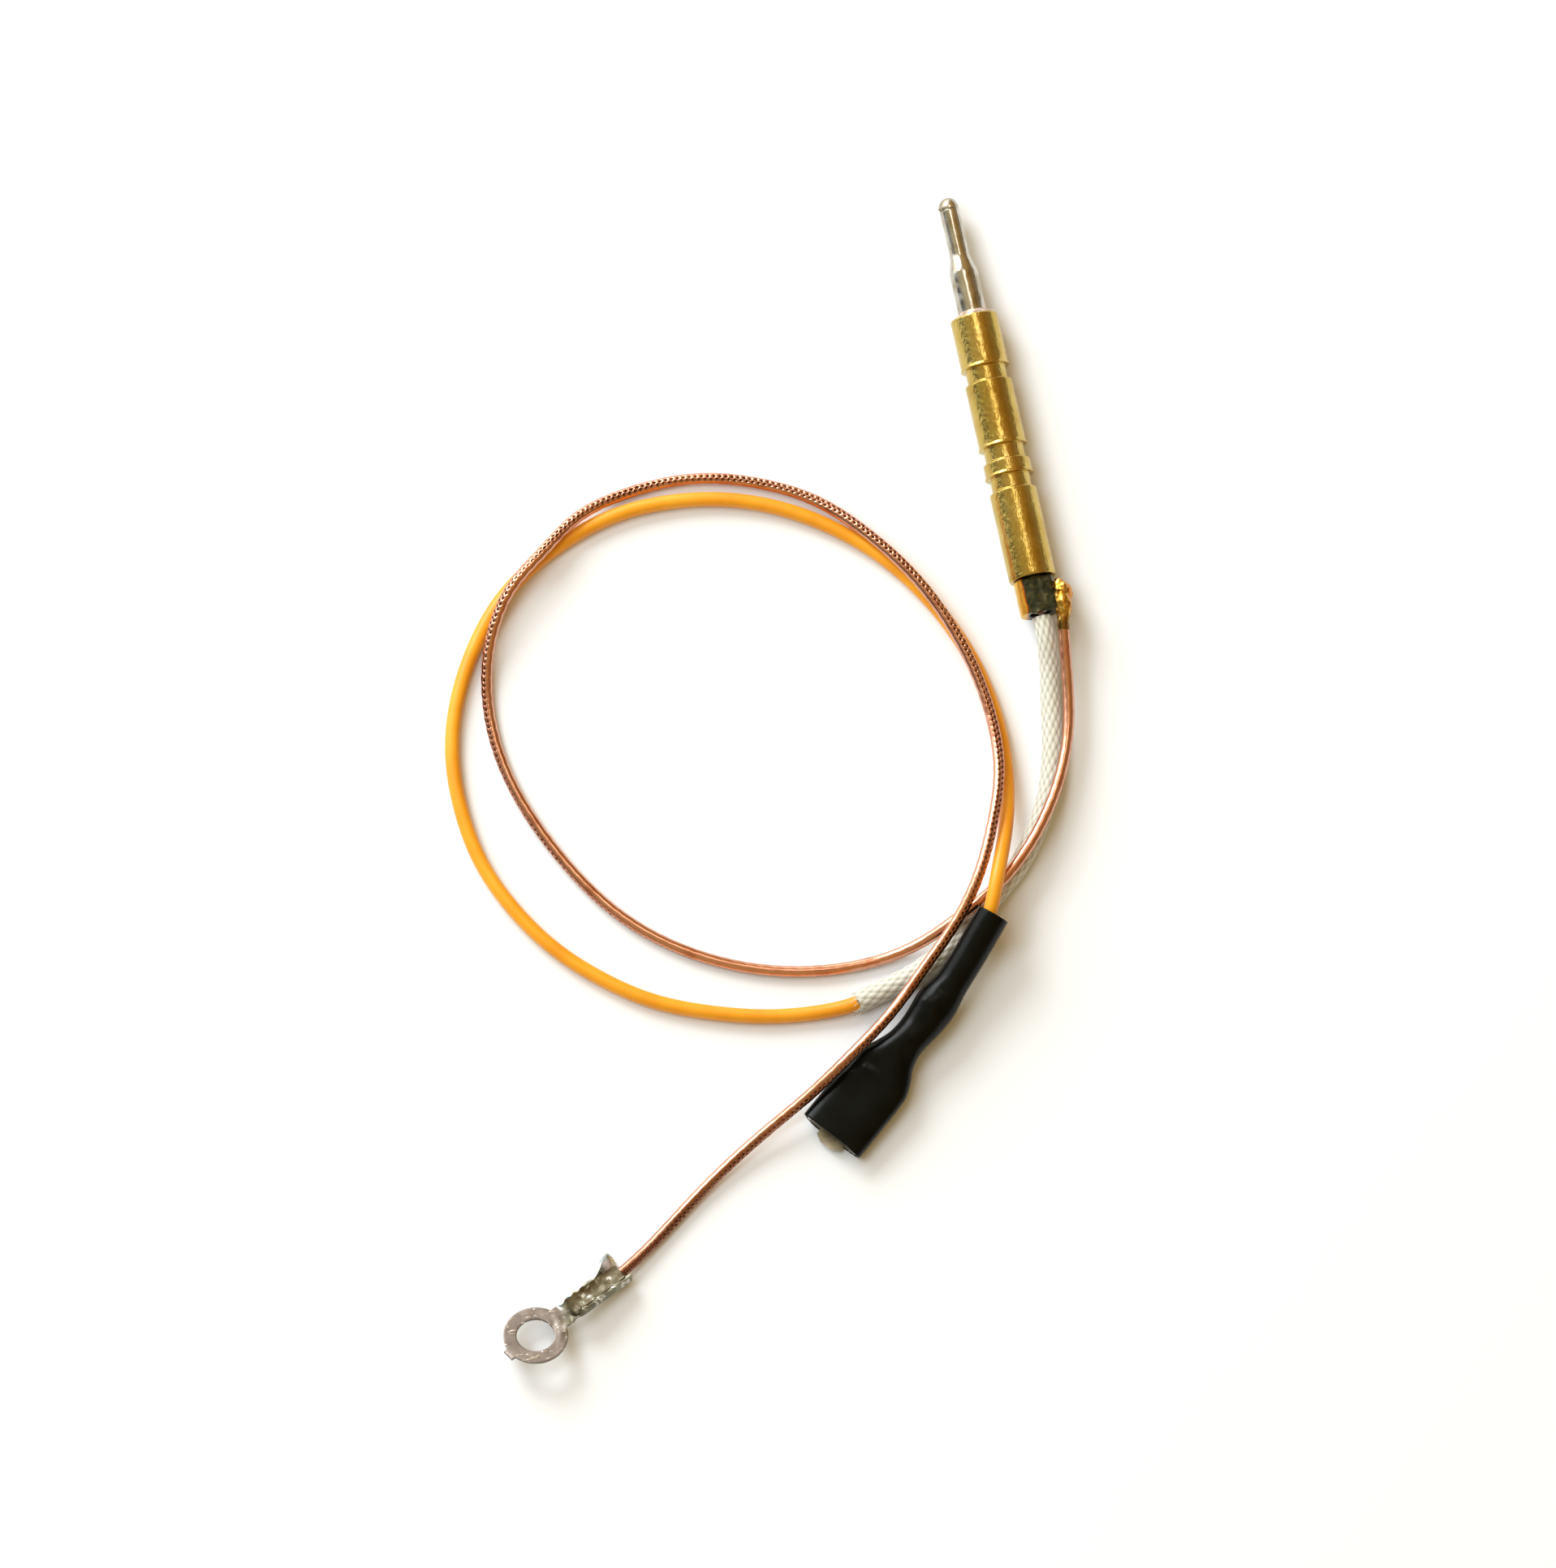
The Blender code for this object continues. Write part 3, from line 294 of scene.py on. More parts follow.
def smooth_path(knots, spacing):
    """Evenly spaced points on the natural cubic spline through the knots.

    The parameter is the distance along the chords. The second derivatives are zero at both ends
    and follow from one tridiagonal system in between.
    """
    knots = np.array(knots, dtype=float)
    chord = np.linalg.norm(np.diff(knots, axis=0), axis=1)
    at = np.concatenate([[0.0], np.cumsum(chord)])
    count = len(knots)
    system = np.eye(count)
    right = np.zeros((count, 3))
    slope = np.diff(knots, axis=0) / chord[:, None]
    inner = np.arange(1, count - 1)
    system[inner, inner - 1] = chord[:-1]
    system[inner, inner] = 2 * (chord[:-1] + chord[1:])
    system[inner, inner + 1] = chord[1:]
    right[1:-1] = 6 * (slope[1:] - slope[:-1])
    bend = np.linalg.solve(system, right)

    def point_at(parameter):
        piece = np.clip(np.searchsorted(at, parameter, side="right") - 1, 0, count - 2)
        width = chord[piece][:, None]
        after = (parameter - at[piece])[:, None]
        before = width - after
        curved = (bend[piece] * before**3 + bend[piece + 1] * after**3) / (6 * width)
        straight = (knots[piece] / width - bend[piece] * width / 6) * before
        straight += (knots[piece + 1] / width - bend[piece + 1] * width / 6) * after
        return curved + straight

    fine_parameter = np.linspace(0.0, at[-1], FINE_STEPS)
    fine = point_at(fine_parameter)
    run = np.concatenate([[0.0], np.cumsum(np.linalg.norm(np.diff(fine, axis=0), axis=1))])
    stations = max(2, round(run[-1] / spacing) + 1)
    distance = np.linspace(0.0, run[-1], stations)
    return point_at(np.interp(distance, run, fine_parameter)), distance


def path_frame(points):
    """Forward, right-hand and upward directions at each point of a path that lies fairly flat.

    Right is forward crossed with the vertical, and up is right crossed with forward.
    """
    forward = np.gradient(points, axis=0)
    forward /= np.linalg.norm(forward, axis=1, keepdims=True)
    right = np.cross(forward, (0.0, 0.0, 1.0))
    right /= np.linalg.norm(right, axis=1, keepdims=True)
    return forward, right, np.cross(right, forward)


def tube_grid(points, radius, angle):
    """Rings of a tube: centre + radius times (cos(angle) right + sin(angle) up)."""
    right, up = path_frame(points)[1:]
    reach = radius[..., None]
    turn = angle[..., None]
    spoke = np.cos(turn) * right[:, None, :] + np.sin(turn) * up[:, None, :]
    return points[:, None, :] + reach * spoke


def unevenness(seed, waves, low, high, *coordinates):
    """A smooth uneven height of about -1 to 1: the sum of sine waves whose direction and phase
    are random and whose frequency is between low and high, in radians per millimetre."""
    random = np.random.default_rng(seed)
    total = 0.0
    for _ in range(waves):
        wave = random.normal(size=len(coordinates))
        wave *= random.uniform(low, high) / np.linalg.norm(wave)
        phase = random.uniform(0, 2 * math.pi)
        total = total + np.sin(sum(w * c for w, c in zip(wave, coordinates)) + phase)
    return total / math.sqrt(2.0 * waves)


def full_turn(sides):
    """Angles of the sides of a ring."""
    return np.arange(sides) * (2 * math.pi / sides)


def around(sides, radius):
    """Distance round a ring at each side and back at the first."""
    return np.arange(sides + 1) * (2 * math.pi * radius / sides)


def round_about(angle, reach):
    """The two coordinates of points round a piece, for an unevenness that closes on itself."""
    return reach * np.cos(angle), reach * np.sin(angle)


print("path helpers ready, with", FINE_STEPS, "steps to measure a path by")

# %% [markdown]
# ## Finishes
# A finish is one shader fed by a few textures. Metals get a colour that drifts a little, a
# roughness that varies, and fine bumps. The helpers below keep each finish short to write:
# they add a texture, a colour ramp or a bump node and join them up.

# %% Finish helpers
def screen(red, green, blue):
    """A colour given as it looks on a screen, from 0 to 255, as the linear one shaders use."""
    share = np.array((red, green, blue)) / 255
    low, high = share / 12.92, ((share + 0.055) / 1.055) ** 2.4
    return tuple(float(value) for value in np.where(share <= 0.04045, low, high))


class Finish:
    """A material with one Principled shader, and short ways to feed it."""

    def __init__(self, name, metallic=0.0, roughness=0.5):
        self.material = bpy.data.materials.new(name)
        self.material.use_nodes = True
        self.nodes = self.material.node_tree.nodes
        self.links = self.material.node_tree.links
        self.shader = self.nodes["Principled BSDF"]
        self.shader.inputs["Metallic"].default_value = metallic
        self.shader.inputs["Roughness"].default_value = roughness
        self.source = self.nodes.new("ShaderNodeTexCoord").outputs["Object"]
        self.bump_link = None

    def follow_surface(self):
        """Textures follow the lay of the surface, and their unit is a millimetre."""
        node = self.nodes.new("ShaderNodeUVMap")
        node.uv_map = "lay"
        self.source = node.outputs[0]

    def stretched(self, scale, turn=(0, 0, 0)):
        """The coordinates, turned and scaled separately along each axis."""
        node = self.nodes.new("ShaderNodeMapping")
        node.inputs["Scale"].default_value = scale
        node.inputs["Rotation"].default_value = turn
        self.links.new(self.source, node.inputs["Vector"])
        return node.outputs[0]

    def noise(self, scale, detail=3.0, where=None, distortion=0.0):
        """Cloudy noise, with its size set by the scale."""
        node = self.nodes.new("ShaderNodeTexNoise")
        node.inputs["Scale"].default_value = scale
        node.inputs["Detail"].default_value = detail
        node.inputs["Distortion"].default_value = distortion
        self.links.new(where or self.source, node.inputs["Vector"])
        return node.outputs[0]

    def cells(self, scale, where=None):
        """Distance to the nearest of many scattered points."""
        node = self.nodes.new("ShaderNodeTexVoronoi")
        node.inputs["Scale"].default_value = scale
        self.links.new(where or self.source, node.inputs["Vector"])
        return node.outputs["Distance"]

    def marks(self):
        """The value stored at each point of the mesh."""
        node = self.nodes.new("ShaderNodeAttribute")
        node.attribute_name = "marks"
        return node.outputs["Fac"]

    def axis(self, letter):
        """One coordinate, in metres."""
        node = self.nodes.new("ShaderNodeSeparateXYZ")
        self.links.new(self.source, node.inputs[0])
        return node.outputs[letter]

    def scaled(self, value, low, high, to_low=0.0, to_high=1.0):
        """A value moved from one range to another and held inside it."""
        node = self.nodes.new("ShaderNodeMapRange")
        for socket, number in zip(("From Min", "From Max", "To Min", "To Max"),
                                  (low, high, to_low, to_high)):
            node.inputs[socket].default_value = number
        self.links.new(value, node.inputs["Value"])
        return node.outputs[0]

    def coloured(self, value, stops):
        """A value turned into a colour."""
        node = ramp(self.nodes, stops, smooth=False)
        self.links.new(value, node.inputs[0])
        return node.outputs[0]

    def painted(self, value, stops):
        """A value turned into a colour. A stop is (place, red, green, blue), as on a screen."""
        return self.coloured(value, [(place, screen(*colour)) for place, *colour in stops])

    def mixed(self, share, first, second):
        """Two colours or links mixed by a share."""
        node = self.nodes.new("ShaderNodeMix")
        node.data_type = "RGBA"
        for socket, value in (("Factor", share), ("A", first), ("B", second)):
            if isinstance(value, bpy.types.NodeSocket):
                self.links.new(value, node.inputs[socket])
            elif isinstance(value, tuple):
                node.inputs[socket].default_value = (*value, 1.0)
            else:
                node.inputs[socket].default_value = value
        return node.outputs["Result"]

    def feed(self, socket, link):
        """Join a link to the shader."""
        self.links.new(link, self.shader.inputs[socket])

    def rough(self, texture, low, high):
        """Roughness that goes from low to high over the middle of a texture's range."""
        self.feed("Roughness", self.scaled(texture, 0.3, 0.7, low, high))

    def bump(self, height, depth, strength=1.0):
        """Raise the surface by a height texture, on top of earlier bumps. Depth is in mm."""
        node = self.nodes.new("ShaderNodeBump")
        node.inputs["Strength"].default_value = strength
        node.inputs["Distance"].default_value = depth * MM
        self.links.new(height, node.inputs["Height"])
        if self.bump_link is not None:
            self.links.new(self.bump_link, node.inputs["Normal"])
        self.bump_link = node.outputs[0]
        self.feed("Normal", self.bump_link)

    def on(self, *items):
        """Give the finish to these objects, in place of what they had."""
        for item in items:
            item.data.materials.clear()
            item.data.materials.append(self.material)


print("finish helpers ready")

# %% [markdown]
# ## Routes of the leads
# The three routes are the engineering model's, in metres, from the probe's tail outwards. The
# woven sleeve covers the first stretch of the insulated lead.

# %% Lead routes
FIBRE_ROUTE = (
    (0, -0.02745, 0.00305), (0, -0.03, 0.0029), (-0.0003, -0.033, 0.00195),
    (-0.0009, -0.0363, 0.0014), (-0.0016, -0.0405, 0.00134), (-0.0026, -0.045, 0.00134),
    (-0.0042, -0.0495, 0.00134), (-0.0065, -0.0535, 0.00134), (-0.0095, -0.0572, 0.00134),
    (-0.0132, -0.0603, 0.00134), (-0.0172, -0.0635, 0.00134), (-0.0212, -0.0662, 0.00134),
    (-0.026, -0.0683, 0.00134), (-0.0325, -0.0699, 0.00134),
)
YELLOW_ROUTE = (
    (-0.03295, -0.07, 0.00125), (-0.036, -0.0701, 0.001), (-0.0445, -0.069, 0.00095),
    (-0.051, -0.067, 0.00095), (-0.0575, -0.064, 0.00095), (-0.0625, -0.0603, 0.00095),
    (-0.0665, -0.0564, 0.00095), (-0.0712, -0.0495, 0.00095), (-0.074, -0.0425, 0.00095),
    (-0.075, -0.034, 0.00095), (-0.0743, -0.0272, 0.00095), (-0.072, -0.0208, 0.00095),
    (-0.0684, -0.0149, 0.00095), (-0.064, -0.0101, 0.00095), (-0.0595, -0.007, 0.00095),
    (-0.0535, -0.0043, 0.00095), (-0.0465, -0.0028, 0.00095), (-0.0405, -0.0029, 0.00095),
    (-0.034, -0.0042, 0.00095), (-0.0275, -0.007, 0.00095), (-0.022, -0.0108, 0.00095),
    (-0.0178, -0.0148, 0.00095), (-0.0137, -0.0204, 0.00095), (-0.0107, -0.0265, 0.00095),
    (-0.0089, -0.0325, 0.00098), (-0.0081, -0.039, 0.0012), (-0.0085, -0.046, 0.0021),
    (-0.0097, -0.0515, 0.0034), (-0.0115, -0.0565, 0.0051), (-0.013, -0.0602, 0.00575),
    (-0.0144, -0.0632, 0.00535), (-0.01815, -0.0679, 0.00435), (-0.0232, -0.07275, 0.00325),
    (-0.0255, -0.07463, 0.00304),
)
COPPER_ROUTE = (
    (0.00265, -0.0275, 0.00445), (0.0021, -0.031, 0.004), (0.0001, -0.0422, 0.00315),
    (-0.00245, -0.0483, 0.0035), (-0.0066, -0.0543, 0.00375), (-0.0124, -0.0595, 0.00375),
    (-0.0187, -0.0627, 0.0031), (-0.022, -0.0639, 0.0021), (-0.0265, -0.0649, 0.001),
    (-0.0325, -0.0652, 0.00077), (-0.0405, -0.064, 0.00077), (-0.0495, -0.0603, 0.00077),
    (-0.0585, -0.053, 0.00077), (-0.065, -0.0425, 0.00077), (-0.0686, -0.0315, 0.00077),
    (-0.0684, -0.0202, 0.0011), (-0.0659, -0.0136, 0.0025), (-0.0624, -0.0092, 0.0031),
    (-0.0584, -0.0062, 0.00305), (-0.053, -0.0025, 0.0021), (-0.0465, -0.0006, 0.0009),
    (-0.0375, -0.0006, 0.00077), (-0.0308, -0.0026, 0.0008), (-0.0245, -0.0061, 0.0011),
    (-0.0192, -0.0116, 0.0023), (-0.0142, -0.019, 0.00298), (-0.0105, -0.028, 0.00298),
    (-0.0088, -0.0385, 0.0032), (-0.00935, -0.0455, 0.00415), (-0.0118, -0.0526, 0.0055),
    (-0.0148, -0.0585, 0.006), (-0.0185, -0.0633, 0.0055), (-0.0234, -0.0679, 0.0048),
    (-0.029, -0.0729, 0.0046), (-0.0344, -0.0768, 0.005), (-0.0405, -0.0804, 0.0036),
    (-0.047, -0.0836, 0.002), (-0.057, -0.0895, 0.00085), (-0.0662, -0.0959, 0.00123),
    (-0.06895, -0.09755, 0.0017),
)
COPPER_DIAMETER = 1.4
FIBRE_DIAMETER = 2.6
YELLOW_DIAMETER = 1.8
print("copper", len(COPPER_ROUTE), "points, insulated", len(YELLOW_ROUTE), "points")

# %% [markdown]
# ## Copper lead
# The return lead is soft solid copper wire. The rollers that feed it bite a strip of small
# diamond marks into one side, and the strip wanders round the wire as the wire twists. The marks
# are cut into the mesh: the points are packed closely under the strip and sparsely elsewhere.

# %% Copper wire with roller marks
WIRE_STEP = 0.112
WIRE_INTO_SOLDER = 1.6
ROLLER_PITCH = 0.74
MARK_DEPTH = 0.2
STRIP_HALF_WIDTH = 0.42
PACKED_HALF_ANGLE = 0.64
# Where the wire was straightened, over what length, and the trembling left in its centre line.
STRAIGHTENED = (132.0, 16.0)
TREMBLE, TREMBLE_REST, TREMBLE_PITCH = 0.02, 0.012, 1.63
# Distance along the wire, and the angle of the strip round it from the right-hand side.
STRIP_TURNS = (
    (0, 262), (45, 250), (60, 215), (85, 190), (98, 168), (115, 152), (135, 122), (150, 92),
    (165, 88), (180, 103), (200, 118), (220, 116), (240, 134), (255, 142), (275, 144), (310, 138),
)
# Distance along the wire, share of painted shade between the marks, and its half width in mm.
STRIP_PAINTED_SHADE = (
    (0, 0.04, 0.5), (60, 0.10, 0.5), (232, 0.14, 0.5), (250, 0.24, 0.7), (285, 0.30, 0.8),
    (298, 0.36, 1.4), (310, 0.36, 1.4),
)


def roller_marks(along, across):
    """Depth of the roller marks: two rows of pyramids, half a pitch apart, on a strip that is
    pressed slightly flat. A pyramid's depth falls evenly with the distance along plus across."""
    depth = np.zeros(np.broadcast(along, across).shape)
    for row, shift in ((-1, 0.0), (1, 0.5)):
        phase = (along / ROLLER_PITCH + shift) % 1.0 - 0.5
        offset = across - row * 0.5 * STRIP_HALF_WIDTH
        pyramid = 1.0 - np.abs(phase) / 0.46 - np.abs(offset) / (0.78 * STRIP_HALF_WIDTH)
        depth = np.maximum(depth, pyramid)
    return np.clip(depth, 0.0, 1.0)


def make_copper_wire():
    """Tube along the route. Its radius is the wire's, less the marks and a shallow flat under
    them, and its centre line trembles a little where the wire was straightened by hand. The
    value stored at a point is the mark's depth or the strip's painted shade, whichever is
    larger."""
    route = np.array(COPPER_ROUTE) / MM
    route[-2:, 2] -= (0.18, 0.36)
    last_step = route[-1] - route[-2]
    into_solder = route[-1] + WIRE_INTO_SOLDER * last_step / np.linalg.norm(last_step)
    points, along = smooth_path(np.vstack([route, into_solder]), WIRE_STEP)
    right = path_frame(points)[1]
    wavy = np.exp(-((along - STRAIGHTENED[0]) / STRAIGHTENED[1]) ** 2) * TREMBLE + TREMBLE_REST
    points = points + right * (wavy * np.sin(along * 2 * math.pi / TREMBLE_PITCH))[:, None]
    dense = np.linspace(-PACKED_HALF_ANGLE, PACKED_HALF_ANGLE, 15)
    sparse = np.linspace(PACKED_HALF_ANGLE, 2 * math.pi - PACKED_HALF_ANGLE, 17)[1:-1]
    offset = np.concatenate([dense, sparse])
    turns = np.array(STRIP_TURNS, dtype=float)
    centre = np.radians(np.interp(along, turns[:, 0], turns[:, 1]))
    centre = centre + 0.07 * unevenness(3, 6, 0.3, 1.1, along)
    angle = centre[:, None] + offset[None, :]
    folded = (offset + math.pi) % (2 * math.pi) - math.pi
    across = folded * COPPER_DIAMETER / 2
    marks = roller_marks(along[:, None], across[None, :])
    patchy = np.clip(0.85 + 0.35 * unevenness(4, 8, 0.1, 0.6, along), 0.35, 1.1)
    marks = marks * patchy[:, None]
    flat = 0.035 * np.exp(-(across / STRIP_HALF_WIDTH) ** 2)
    radius = COPPER_DIAMETER / 2 - flat[None, :] - MARK_DEPTH * marks
    radius = radius * (1 + 0.01 * unevenness(5, 8, 0.4, 2.0, along)[:, None])
    grid = tube_grid(points, radius, angle)
    grid[:, :, 2] = np.maximum(grid[:, :, 2], 0.0)
    # Painted shade: the strip darkens along the tail, where that side of the wire faces away from
    # the light.
    place, share, half_width = np.transpose(STRIP_PAINTED_SHADE)
    painted_shade_band = np.interp(along, place, share)[:, None] * np.exp(
        -(across[None, :] / np.interp(along, place, half_width)[:, None]) ** 4)
    marks = np.maximum(marks, painted_shade_band)
    rounds = np.append(across % (math.pi * COPPER_DIAMETER), across[0] + math.pi * COPPER_DIAMETER)
    item = put_surface(
        "copper_wire", grid, ends=(points[0], points[-1]), lay=(along, rounds), marks=marks)
    belongs(item, "bright_copper", "copper_lead")
    return item, points, along[-1]


copper_wire, copper_points, copper_length = make_copper_wire()
print("copper wire", round(copper_length, 1), "mm long")

# %% [markdown]
# ## Copper finish
# Drawn copper is bright, with fine lines along it, and the roller marks hold dark oxide, made
# darker as painted shade. The depth stored with the mesh says where the oxide lies, so the colour
# and the shape agree. Along the tail the stored value also holds painted shade over the strip.

# %% Bright copper finish
def bright_copper(name, followed=True):
    """Drawn copper: pink-orange, dark in the marks with oxide and painted shade, and with
    fine lines along the wire.
    """
    finish = Finish(name, metallic=1.0, roughness=0.26)
    if followed:
        finish.follow_surface()
    drift = finish.painted(finish.noise(0.35 if followed else 400, 4.0), [
        (0.3, 198, 132, 104), (0.5, 220, 162, 136), (0.7, 208, 148, 120),
    ])
    if followed:
        # Dark brown from the stored value: oxide in the marks, deepened as painted shade, and
        # painted shade over the strip on the tail.
        oxide_and_shade = finish.scaled(finish.marks(), 0.05, 0.5, 0.0, 0.97)
        drift = finish.mixed(oxide_and_shade, drift, screen(66, 26, 14))
    finish.feed("Base Color", drift)
    size = (0.25, 14.0, 1.0) if followed else (9000, 300, 9000)
    lines = finish.noise(1.0, 2.0, finish.stretched(size))
    finish.rough(lines, 0.17, 0.28)
    finish.bump(lines, 0.018, 0.6)
    return finish


bright_copper("drawn_copper_marked").on(copper_wire)
print("copper wire finished")

# %% [markdown]
# ## Insulated lead
# The other lead has smooth orange-yellow plastic insulation. It is a plain tube whose thickness
# varies by a hundredth or two, which is what breaks up the long highlight on a real cable.

# %% Yellow insulated lead
YELLOW_SIDES = 36
YELLOW_STEP = 0.45
HIDDEN_START = (1.6, 0.35, -0.05)


def make_yellow_lead():
    """Tube along the route, starting inside the woven sleeve's cut end, with a radius that
    varies slightly along and around it."""
    route = np.array(YELLOW_ROUTE) / MM
    inside = np.array(FIBRE_ROUTE[-1]) / MM + HIDDEN_START
    points, along = smooth_path(np.vstack([inside, route]), YELLOW_STEP)
    angle = full_turn(YELLOW_SIDES)[None, :]
    radius = YELLOW_DIAMETER / 2 * (1 + 0.012 * unevenness(
        11, 14, 0.1, 0.9, along[:, None], *round_about(angle, 2)))
    grid = tube_grid(points, radius, np.broadcast_to(angle, radius.shape))
    item = put_surface("yellow_cable", grid, ends=(points[0], points[-1]),
                       lay=(along, around(YELLOW_SIDES, YELLOW_DIAMETER / 2)))
    return belongs(item, "yellow_insulation", "yellow_lead"), points, along[-1]


yellow_cable, yellow_points, yellow_length = make_yellow_lead()
print("yellow cable", round(yellow_length, 1), "mm long")

# %% [markdown]
# ## Insulation finish
# Soft plastic has a broad sheen, which handling makes uneven. Noise that is drawn out along the
# lead stands for the scuffs, and a slower one lets the colour drift.

# %% Yellow plastic
def yellow_plastic():
    """Soft-sheen plastic: a deep orange-yellow that drifts a little, with faint handling marks."""
    finish = Finish("yellow_plastic", roughness=0.4)
    finish.follow_surface()
    finish.feed("Base Color", finish.painted(finish.noise(0.16, 4.0), [
        (0.3, 226, 142, 20), (0.5, 236, 156, 26), (0.7, 240, 164, 36),
    ]))
    scuffs = finish.noise(1.0, 3.0, finish.stretched((0.8, 6.0, 1.0)))
    finish.feed("Roughness", finish.scaled(scuffs, 0.35, 0.7, 0.34, 0.5))
    finish.bump(scuffs, 0.02, 0.4)
    finish.shader.inputs["Specular IOR Level"].default_value = 0.45
    return finish


yellow_plastic().on(yellow_cable)
print("insulated lead finished")

# %% [markdown]
# ## Woven glass-fibre sleeve
# The sleeve over the hot end of the insulated lead is a braid: two sets of flat yarns wind round
# it in opposite directions and pass over and under each other. In the unrolled surface, each set
# is a family of parallel stripes, and whether a yarn is on top changes from one crossing to the
# next like the squares of a chessboard.

# %% Braided sleeve
BRAID_SIDES = 80
BRAID_STEP = 0.115
BRAID_RADIUS = 1.15
BRAID_BORE = 1.0
BRAID_RINGS_INSIDE = 12
YARNS_AROUND = 9
BRAID_PITCH = 0.92
BRAID_HEIGHT = 0.15


def braid_height(along, angle, turn):
    """Height of the braid, 0 to 1, and which set of yarns is on top.

    Each set's stripe number is yarns times angle, plus or minus the distance along. The crown
    of a yarn is the root of a cosine across its stripe. It rises where the sum of the two
    stripe numbers is even, and dives where it is odd.
    """
    first = YARNS_AROUND * angle / (2 * math.pi) + along / (2 * BRAID_PITCH) + turn
    second = YARNS_AROUND * angle / (2 * math.pi) - along / (2 * BRAID_PITCH) - turn
    cell_one, cell_two = np.floor(first), np.floor(second)
    off_one, off_two = first - cell_one - 0.5, second - cell_two - 0.5
    over = np.where((cell_one + cell_two) % 2 == 0, 1.0, -1.0)
    crown_one = np.sqrt(np.clip(np.cos(math.pi * off_one), 0, 1))
    crown_two = np.sqrt(np.clip(np.cos(math.pi * off_two), 0, 1))
    lift_one = crown_one * (0.55 + 0.45 * over * np.cos(math.pi * off_two))
    lift_two = crown_two * (0.55 - 0.45 * over * np.cos(math.pi * off_one))
    return np.maximum(lift_one, lift_two)


def make_braided_sleeve():
    """Braided tube that is slightly wider towards its cut end, and open there."""
    points, along = smooth_path(np.array(FIBRE_ROUTE) / MM, BRAID_STEP)
    angle = full_turn(BRAID_SIDES)[None, :]
    share = (along / along[-1])[:, None]
    drift = 0.15 * unevenness(21, 6, 0.05, 0.3, along[:, None])
    height = braid_height(along[:, None], angle, drift)
    body = BRAID_RADIUS + 0.16 * share + 0.025 * unevenness(
        22, 14, 0.2, 1.3, along[:, None], *round_about(angle, 2))
    radius = body + BRAID_HEIGHT * (height - 0.35)
    ragged = 0.22 * unevenness(23, 8, 1.0, 6.0, *round_about(angle, 2))
    forward = path_frame(points)[0]
    outer = tube_grid(points, radius, np.broadcast_to(angle, radius.shape))
    near_end = np.exp(-((along[-1] - along) / 0.6))[:, None]
    outer += forward[:, None, :] * (ragged * near_end)[..., None]
    back = slice(None, -BRAID_RINGS_INSIDE - 1, -1)
    bore = np.full((BRAID_RINGS_INSIDE, BRAID_SIDES), BRAID_BORE)
    inside = tube_grid(points[back], bore, np.broadcast_to(angle, bore.shape))
    inside += forward[back][:, None, :] * (ragged * near_end[back])[..., None]
    grid = np.concatenate([outer, inside])
    grid[:, :, 2] = np.maximum(grid[:, :, 2], 0.0)
    marks = np.concatenate([height, np.zeros_like(bore)])
    item = put_surface(
        "braided_sleeve", grid, ends=(points[0], points[-BRAID_RINGS_INSIDE]), marks=marks,
        lay=(np.concatenate([along, along[back]]), around(BRAID_SIDES, FIBRE_DIAMETER / 2)))
    return belongs(item, "woven_glass_fibre", "fibreglass_sleeve"), points, along[-1]


braided_sleeve, fibre_points, fibre_length = make_braided_sleeve()
print("braided sleeve", round(fibre_length, 1), "mm long")

# %% [markdown]
# ## Loose fibres
# Scissors leave short ends standing out of the braid. Each is a thin tube with four sides, which
# is plenty for something so fine, and all are joined into one piece.

# %% Fibres at the cut end
FIBRE_RADIUS = 0.028
FIBRE_SIDES = 4


def make_loose_fibres(count=26):
    """Short fibres that stand out of the cut end: each is a thin four-sided tube along a line
    that bends outwards with the square of the distance."""
    random = np.random.default_rng(24)
    forward, right, up = (axis[-1] for axis in path_frame(fibre_points))
    run = np.linspace(0.0, 1.0, 7)
    rings = []
    for fibre in range(count):
        turn = 2 * math.pi * fibre / count + random.uniform(-0.2, 0.2)
        spoke = math.cos(turn) * right + math.sin(turn) * up
        length = random.uniform(0.35, 1.0)
        start = fibre_points[-1] + 1.24 * spoke - 0.45 * forward
        swerve = random.normal(scale=0.22, size=3)
        line = start + run[:, None] * forward * (0.3 + length)
        line += (run**2)[:, None] * (0.16 * length * spoke + swerve)
        line[:, 2] = np.maximum(line[:, 2], 0.06)
        thickness = np.full((len(run), FIBRE_SIDES), FIBRE_RADIUS)
        angle = np.broadcast_to(full_turn(FIBRE_SIDES)[None, :], thickness.shape)
        rings.append((tube_grid(line, thickness, angle), line))
    items = [
        put_surface(f"fibre_{number}", grid, ends=(line[0], line[-1]),
                    marks=np.full(grid.shape[:2], 0.9))
        for number, (grid, line) in enumerate(rings)
    ]
    with bpy.context.temp_override(active_object=items[0], selected_editable_objects=items):
        bpy.ops.object.join()
    items[0].name = "loose_fibres"
    return belongs(items[0], "woven_glass_fibre")


loose_fibres = make_loose_fibres()

# %% [markdown]
# ## Glass-fibre finish
# Glass yarn is a warm white, and painted shade greys it in the valleys of the braid. The height
# stored with the mesh gives the valleys, and fine bumps run across the yarns as threads.

